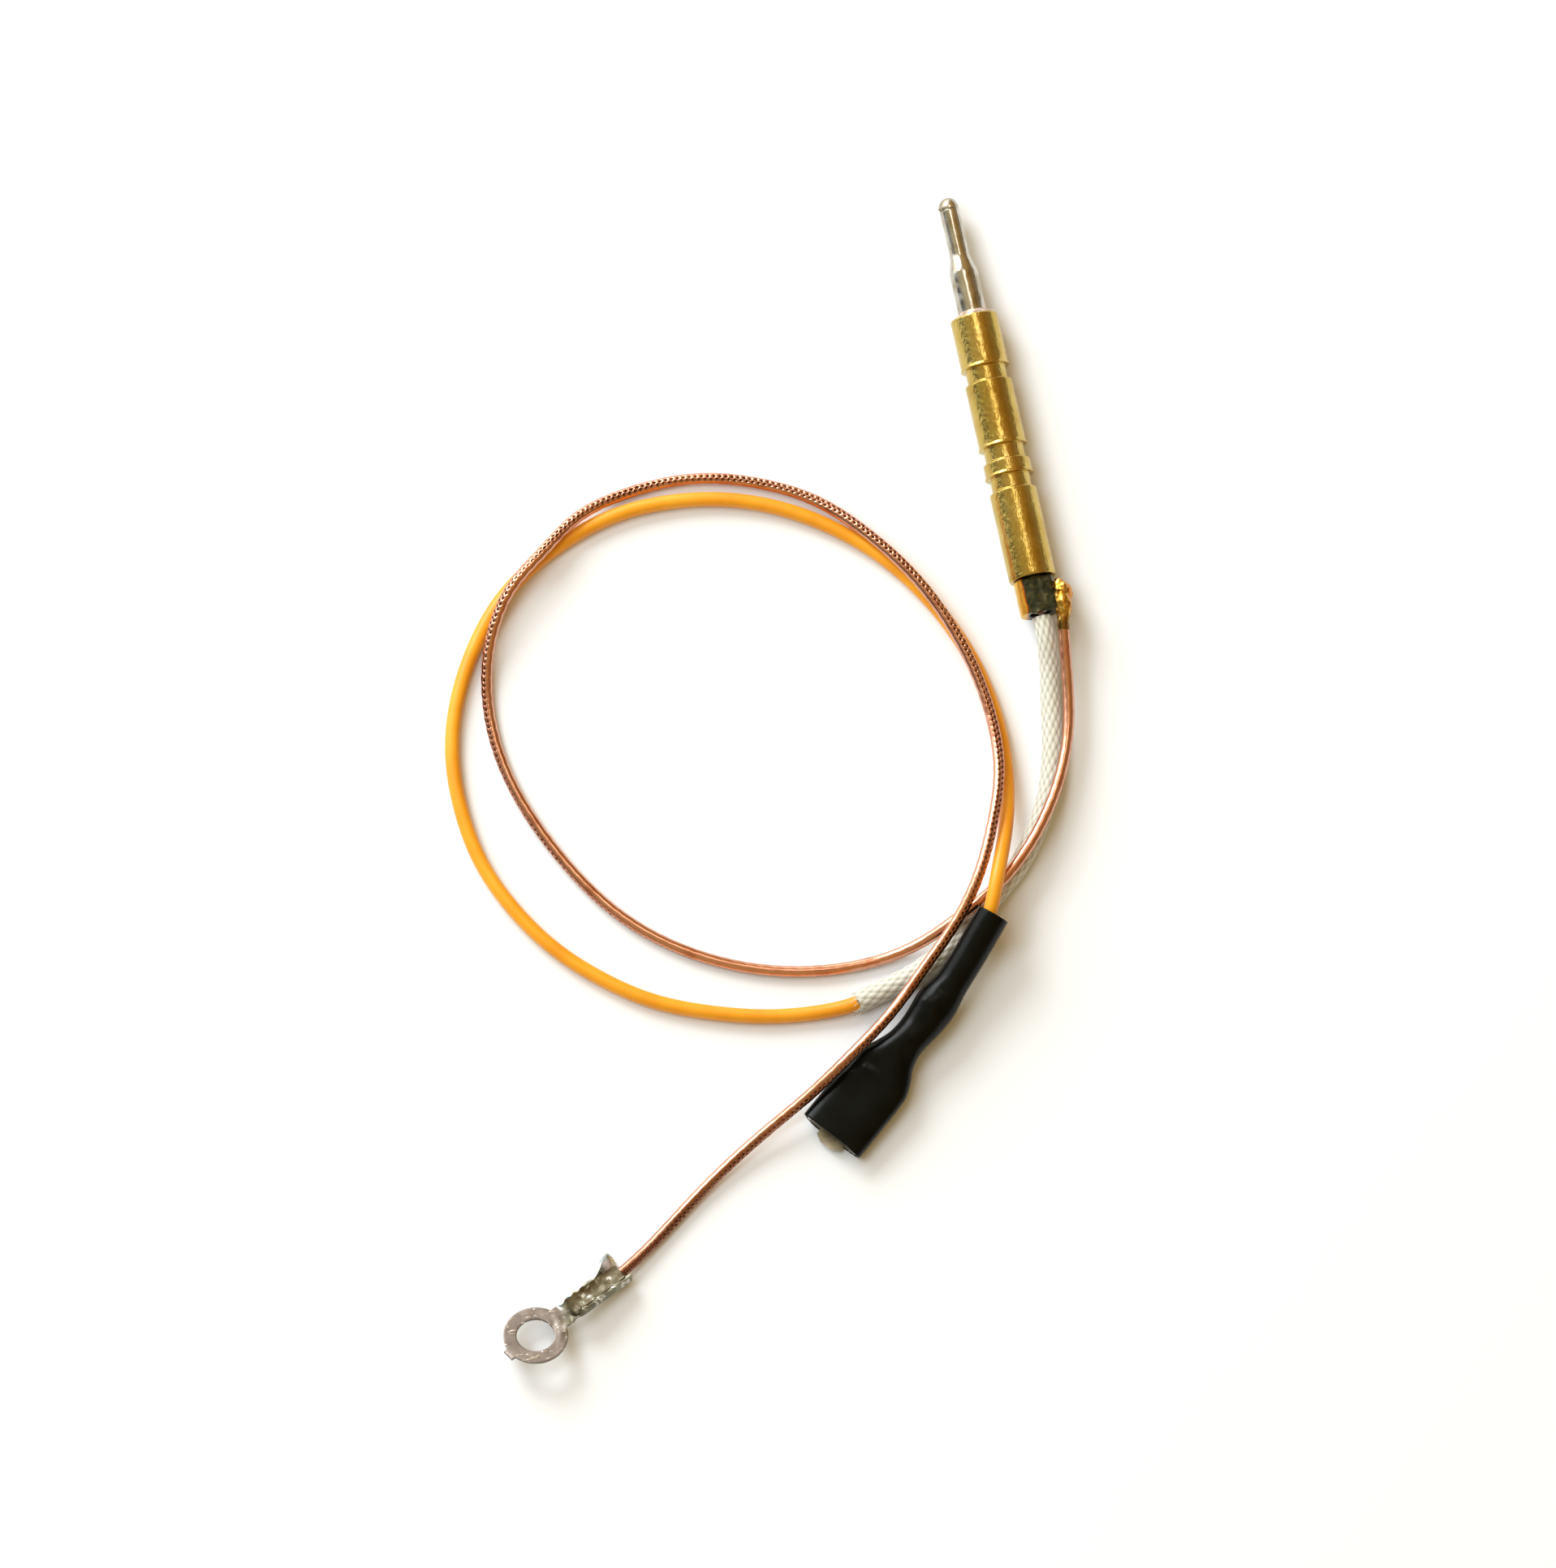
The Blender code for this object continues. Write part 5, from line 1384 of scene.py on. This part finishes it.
# %% Black tubing
def black_tubing():
    """Satin black polyolefin: nearly black, a broad soft sheen, faint mottling where it shrank
    and a few fine scuffs."""
    finish = Finish("black_tubing", roughness=0.42)
    mottle = finish.noise(420, 4.0)
    finish.feed("Base Color", finish.coloured(mottle, [
        (0.35, (0.0008, 0.0014, 0.0013)), (0.65, (0.0018, 0.0028, 0.0026))]))
    fine = finish.noise(3800, 3.0)
    finish.rough(mottle, 0.24, 0.34)
    finish.bump(mottle, 0.05, 0.35)
    finish.bump(fine, 0.010, 0.45)
    finish.shader.inputs["Specular IOR Level"].default_value = 0.13
    return finish


black_tubing().on(shrink_tubing)
print("tubing finished")

# %% [markdown]
# ## Plate pieces
# The ring terminal and the receptacle's tab are stamped from thin sheet. The ring terminal is
# made as its middle surface, which a Solidify modifier turns into a wall of the sheet's
# thickness, and a Bevel modifier then breaks its edges.

# %% Sheet helper
def put_sheet(name, points, faces, marks, thickness, edge, slot, *nodes):
    """A sheet of metal from its middle surface in millimetres, with softened edges. The marks
    are a value for each point."""
    mesh = bpy.data.meshes.new(name)
    mesh.from_pydata((np.asarray(points) * MM).tolist(), [], np.asarray(faces).tolist())
    item = bpy.data.objects.new(name, mesh)
    scene.collection.objects.link(item)
    layer = mesh.attributes.new("marks", "FLOAT", "POINT")
    layer.data.foreach_set("value", np.asarray(marks, dtype=np.float32))
    wall = item.modifiers.new("wall", "SOLIDIFY")
    wall.thickness = thickness * MM
    wall.offset = 0.0
    wall.use_even_offset = True
    broken = item.modifiers.new("broken_edges", "BEVEL")
    broken.width = edge * MM
    broken.segments = 2
    broken.limit_method = "ANGLE"
    broken.angle_limit = math.radians(50)
    mesh.shade_smooth()
    smooth = item.modifiers.new("even_shading", "WEIGHTED_NORMAL")
    smooth.keep_sharp = True
    print(name, len(points), "points")
    return belongs(item, slot, *nodes)


print("sheet helper ready")

# %% [markdown]
# ## Ring terminal
# One stamping holds the eye, a nub left from the carrier strip, the neck and an open barrel.
# The eye is tilted on its screw side, the neck is crumpled, and one wing of the barrel was left
# bent outwards when the wire was soldered in.

# %% Ring terminal
EYE_CENTRE = np.array((-80.45, -103.1, 2.82))
EYE_PITCH, EYE_ROLL, EYE_HEADING = (math.radians(turn) for turn in (11.3, 14.4, 119.5))
EYE_RADIUS = 4.0
EYE_HOLE_RADIUS = 2.375
PLATE = 0.4
NECK_COLUMNS = 24
EYE_SEGMENTS = 192
EYE_RINGS = 9
BARREL_ROWS = 40
NECK_END = 4.8
BARREL_START = 6.2
BARREL_END = 13.9
BARREL_SET = 0.55
BARREL_BEND_RADIUS = 0.95
BARREL_FLOOR = 0.3
BARREL_WING = 1.15
WING_OPENING = math.radians(70)
# Where along the barrel the wing begins to open, and the length over which it does.
WING_OPENS = (9.6, 3.5)
NUB_TEETH = 12
NUB_HEIGHT = 0.5


def turn_matrix(pitch, roll, heading):
    """Turn about X by the pitch, then about Y by the roll, then about Z by the heading."""
    cp, sp = math.cos(pitch), math.sin(pitch)
    cr, sr = math.cos(roll), math.sin(roll)
    ch, sh = math.cos(heading), math.sin(heading)
    about_x = np.array(((1, 0, 0), (0, cp, -sp), (0, sp, cp)))
    about_y = np.array(((cr, 0, sr), (0, 1, 0), (-sr, 0, cr)))
    about_z = np.array(((ch, -sh, 0), (sh, ch, 0), (0, 0, 1)))
    return about_z @ about_y @ about_x


EYE_TURN = turn_matrix(EYE_PITCH, EYE_ROLL, EYE_HEADING)


def from_eye(points):
    """Points given about the eye's centre, with +Y towards the ring, put in place."""
    return np.asarray(points) @ EYE_TURN.T + EYE_CENTRE


def bent_strip(length, floor, radius, bend):
    """Section of a bent strip at distances from its middle: flat for half the floor, then
    round the radius through the bend angle, then straight on."""
    side = np.sign(length)
    along = np.abs(length)
    arc = np.clip((along - floor) / radius, 0.0, bend)
    rest = np.maximum(along - floor - radius * bend, 0.0)
    x = np.minimum(along, floor) + radius * np.sin(arc) + rest * np.cos(bend)
    z = radius * (1 - np.cos(arc)) + rest * np.sin(bend)
    return side * x, z


def eye_rings():
    """Flat rings of the eye: radius times the cosine and sine of the angle from the neck."""
    column = np.arange(EYE_SEGMENTS) - NECK_COLUMNS // 2
    turn = -math.pi / 2 + 2 * math.pi * column / EYE_SEGMENTS
    radii = np.linspace(EYE_HOLE_RADIUS, EYE_RADIUS, EYE_RINGS)[:, None]
    return np.stack([radii * np.cos(turn), radii * np.sin(turn), 0 * radii * turn], -1)


def barrel_row(along, share, half_neck):
    """Row of the neck or the barrel at a distance from the eye's centre.

    The strip bends up from flat to a right angle over the neck. Further on, the wing on one
    side bends out again, widens a little and is rounded off at its corner.
    """
    formed = np.clip((along - NECK_END) / (BARREL_START - NECK_END), 0.0, 1.0)
    formed = formed * formed * (3 - 2 * formed)
    bend = math.pi / 2 * formed + 1e-4
    half = BARREL_FLOOR + BARREL_BEND_RADIUS * bend + BARREL_WING * formed
    half = max(half, half_neck * (1 - formed) + half * formed)
    opened = np.clip((along - WING_OPENS[0]) / WING_OPENS[1], 0.0, 1.0) ** 1.2
    bends = np.where(share > 0, bend - WING_OPENING * opened, bend)
    widths = half * share * np.where(share > 0, 1.0 + 0.18 * opened, 1.0)
    x, z = bent_strip(widths, BARREL_FLOOR, BARREL_BEND_RADIUS, bends)
    low_wing = np.clip((-share - 0.55) / 0.45, 0.0, 1.0)
    z = z - 0.25 * low_wing * formed + 0.08 * formed * np.abs(share) * math.sin(along * 2.3)
    high_wing = np.clip((share - 0.5) / 0.5, 0.0, 1.0)
    z = z + high_wing * opened * (0.25 + 0.12 * math.sin(along * 5.0))
    near_end = np.clip((along - 12.6) / 1.3, 0.0, 1.0) ** 2
    rounded = 0.8 * near_end * high_wing ** 4 - 0.55 * opened * high_wing
    return np.stack([x - BARREL_SET * formed, rounded - along, z], -1)


def strip_faces(first, second, count):
    """Quads between two rows of points that start at these numbers."""
    column = np.arange(count)
    return np.stack([first + column, second + column, second + column + 1,
                     first + column + 1], -1).reshape(-1, 4)


def make_ring_terminal():
    """The eye is a flat ring of points. The neck and barrel are rows of a strip that starts on
    the eye's rim and bends up more and more until it is the open barrel. The value stored at a
    point is 1 where a painted highlight turns the tin silver: beside the neck and on the opened
    wing."""
    eye = eye_rings()
    ring = np.arange(EYE_RINGS - 1)[:, None] * EYE_SEGMENTS
    step = np.arange(EYE_SEGMENTS)[None, :]
    after = (step + 1) % EYE_SEGMENTS
    faces = [np.stack([ring + step, ring + EYE_SEGMENTS + step, ring + EYE_SEGMENTS + after,
                       ring + after], -1).reshape(-1, 4)]
    rim = eye[-1, :NECK_COLUMNS + 1]
    half_neck = rim[-1, 0]
    share = np.linspace(-1, 1, NECK_COLUMNS + 1)
    flat = np.stack([half_neck * share, 0 * share - NECK_END, 0 * share], -1)
    rows = [rim * (1 - part) + flat * part for part in (0.33, 0.66)]
    stations = np.linspace(NECK_END, BARREL_END, BARREL_ROWS)
    rows += [barrel_row(along, share, half_neck) for along in stations]
    body = np.array(rows)
    width = NECK_COLUMNS + 1
    start, first = (EYE_RINGS - 1) * EYE_SEGMENTS, EYE_RINGS * EYE_SEGMENTS
    faces.append(strip_faces(start, first, NECK_COLUMNS))
    row = first + np.arange(len(body) - 1)[:, None] * width
    faces.append(strip_faces(row, row + width, NECK_COLUMNS))
    nub_first = (NECK_COLUMNS + EYE_SEGMENTS - NUB_TEETH) // 2
    nub = eye[-1, nub_first:nub_first + NUB_TEETH + 1].copy()
    nub[:, 1] = EYE_RADIUS + NUB_HEIGHT
    place = first + len(body) * width
    faces.append(strip_faces(start + nub_first, place, NUB_TEETH))
    points = np.vstack([eye.reshape(-1, 3), body.reshape(-1, 3), nub])
    marks = np.zeros(len(points))
    # Painted highlight: the rows near the neck and the barrel's end, on the opened wing, are marked
    # for silver.
    on_wing = np.clip((share - 0.35) / 0.3, 0.0, 1.0)
    barrel_share = np.linspace(0, 1, BARREL_ROWS)
    bright = np.clip(np.abs(barrel_share - 0.42) / 0.12 - 0.3, 0.0, 1.0)
    marks[first + 2 * width:place] = (bright[:, None] * on_wing[None, :]).ravel()
    near_neck = np.exp(-((points[:, 1] + 2.9) / 1.5) ** 2 - ((points[:, 0] + 1.3) / 1.8) ** 2)
    crumple = unevenness(81, 20, 1.6, 5.4, points[:, 0], points[:, 1])
    points[:, 2] += 0.10 * near_neck * crumple
    points[:, 2] += 0.02 * unevenness(82, 8, 0.3, 1.2, points[:, 0], points[:, 1])
    return put_sheet("eye_terminal", from_eye(points), np.vstack(faces), marks, PLATE, 0.05,
                     "tinned_copper", "ring_terminal")


eye_terminal = make_ring_terminal()

# %% [markdown]
# ## Tin finish
# Old tin is a dull pinkish grey where it is thin over copper, scratched across the eye, and
# silver or brown on the barrel, where solder and flux ran over it. The distance along X says
# where the barrel begins, and the value stored with the mesh says where a painted highlight
# makes the tin a cool silver.

# %% Tinned plate
def tinned_plate():
    """Dull tin over copper: pinkish grey, clouded, with long thin scratches that run across the
    eye, brown and silver where the barrel was wetted by solder, and a cooler silver painted on
    the opened wing as a highlight."""
    finish = Finish("tinned_plate", metallic=1.0, roughness=0.42)
    clouds = finish.noise(520, 5.0)
    dull = finish.painted(clouds, [
        (0.3, 110, 100, 95), (0.5, 127, 117, 111), (0.72, 148, 137, 131)])
    wetted = finish.painted(clouds, [
        (0.3, 92, 88, 72), (0.5, 130, 128, 112), (0.62, 154, 154, 142),
        (0.68, 220, 222, 214),
    ])
    barrel = finish.scaled(finish.axis("X"), -77.4 * MM, -75.6 * MM)
    scratches = finish.noise(1.0, 1.0, finish.stretched((800, 3400, 800), (0, 0, 0.7)))
    thin = finish.scaled(scratches, 0.60, 0.67)
    # Painted highlight: a cool silver for the points that the stored value marks.
    highlight_silver = finish.painted(clouds, [
        (0.35, 152, 161, 166), (0.52, 190, 199, 203), (0.66, 232, 238, 240)])
    plain = finish.mixed(finish.marks(), finish.mixed(barrel, dull, wetted), highlight_silver)
    finish.feed("Base Color", finish.mixed(
        finish.scaled(thin, 0.0, 1.0, 0.0, 0.6), plain, screen(232, 222, 216)))
    finish.feed("Roughness", finish.scaled(thin, 0.0, 1.0, 0.46, 0.26))
    finish.bump(thin, 0.03, 0.9)
    finish.bump(clouds, 0.05, 0.5)
    finish.bump(finish.noise(5200, 2.0), 0.012, 0.4)
    return finish


tinned_plate().on(eye_terminal)
print("ring terminal finished")

# %% [markdown]
# ## Solder
# Solder fills the barrel round the end of the copper lead. Its surface dips between the wings,
# is lumpy along them, and wears a brown film of burnt flux with bare silver showing through.

# %% Solder in the barrel
SOLDER_START, SOLDER_END = 5.2, 13.5
SOLDER_MIDDLE = 1.1
SOLDER_RINGS, SOLDER_SIDES = 120, 84


def make_solder():
    """Rings along the barrel: the lower half follows the channel, and the upper half is nearly
    flat, rises towards the wings, and carries small lumps. Both ends taper to a point."""
    share = np.linspace(0.0, 1.0, SOLDER_RINGS + 2)[1:-1, None]
    along = SOLDER_START + (SOLDER_END - SOLDER_START) * share
    angle = full_turn(SOLDER_SIDES)[None, :]
    taper = np.minimum(1.0, np.minimum(share / 0.09, (1 - share) / 0.05)) ** 0.5
    cosine, sine = np.cos(angle), np.sin(angle)
    across = np.sign(cosine) * np.abs(cosine) ** 0.6
    upright = np.minimum(1.0, np.abs(sine) / 0.3)
    lumps = 0.05 * unevenness(83, 30, 1.0, 6.0, 1.05 * across, along)
    spatter = np.exp(-((along - 7.6) / 1.5) ** 2) * np.clip(across - 0.35, 0, 1) * 1.3
    lumps = lumps + 0.36 * spatter * (0.6 + unevenness(84, 16, 3.0, 8.0, 1.05 * across, along))
    wire = 0.26 * np.exp(-(across / 0.62) ** 2) * np.clip((share - 0.55) / 0.35, 0, 1)
    high = 0.62 + 0.22 * across**2 + 0.22 * np.clip(across, 0, 1) + wire + lumps
    low = -0.88 * np.abs(sine) ** 0.7
    z = SOLDER_MIDDLE + np.where(sine < 0, low, high * upright) * taper
    x = 1.06 * across * taper ** 0.5 - BARREL_SET
    points = from_eye(np.stack(np.broadcast_arrays(x, -along, z), -1))
    ends = from_eye([(-BARREL_SET, -SOLDER_START, SOLDER_MIDDLE - 0.3),
                     (-BARREL_SET, -SOLDER_END, SOLDER_MIDDLE)])
    item = put_surface("barrel_solder", points, ends=tuple(ends))
    return belongs(item, "soft_solder", "ring_solder")


barrel_solder = make_solder()

# %% [markdown]
# ## Solder finish
# Burnt flux leaves a brown film that hides most of the silver. One fine noise sets both, so the
# silver shows as small spots.

# %% Fluxed solder
def fluxed_solder():
    """Solder that shows silver on its lumps and brown flux film in its dips."""
    finish = Finish("fluxed_solder", metallic=0.4, roughness=0.4)
    clouds = finish.noise(1150, 5.0, distortion=0.5)
    finish.feed("Base Color", finish.painted(clouds, [
        (0.30, 78, 66, 46), (0.50, 104, 94, 70), (0.63, 128, 122, 102),
        (0.67, 216, 216, 208),
    ]))
    finish.rough(clouds, 0.55, 0.30)
    finish.bump(clouds, 0.06, 0.6)
    finish.bump(finish.noise(2600, 3.0), 0.02, 0.5)
    return finish


fluxed_solder().on(barrel_solder)
print("solder finished")

# %% [markdown]
# ## Pieces kept from the engineering model
# The receptacle and the pieces inside the probe already have their true shape, so they keep
# their meshes and only get finishes: tin-plated brass, drawn wire and matt ceramic fibre.

# %% Finishes of the kept pieces
def drawn_metal(name, low, high, roughness, stretch):
    """Metal with fine lines along the direction in which the stretch is small."""
    finish = Finish(name, metallic=1.0, roughness=roughness)
    clouds = finish.noise(600, 4.0)
    finish.feed("Base Color", finish.painted(clouds, [(0.35, *low), (0.65, *high)]))
    lines = finish.noise(1.0, 2.0, finish.stretched(stretch))
    finish.rough(lines, roughness - 0.06, roughness + 0.1)
    finish.bump(lines, 0.015, 0.5)
    return finish


def ceramic_fibre():
    """Matt off-white ceramic: chalky, faintly stained, with a fine grain."""
    finish = Finish("ceramic_fibre", roughness=0.9)
    stain = finish.noise(450, 4.0)
    finish.feed("Base Color", finish.painted(stain, [
        (0.35, 222, 214, 196), (0.65, 240, 236, 224)]))
    finish.bump(finish.noise(4200, 4.0), 0.03, 0.6)
    return finish


ALONG_PROBE = (8000, 300, 8000)
drawn_metal("plated_brass", (170, 169, 166), (208, 208, 206), 0.34, (2600, 2600, 9000)).on(
    kept["spade_receptacle"])
drawn_metal("constantan_wire", (176, 158, 132), (204, 188, 164), 0.32, ALONG_PROBE).on(
    kept["element_wire"])
drawn_metal("splice_brass", (176, 160, 122), (206, 192, 156), 0.3, ALONG_PROBE).on(
    kept["conductor_splice"])
bright_copper("conductor_copper", followed=False).on(
    kept["inner_conductor"], kept["stripped_conductor"])
ceramic_fibre().on(kept["body_insulator"], kept["rear_insulator"], kept["tail_bush"])
print("kept pieces finished")
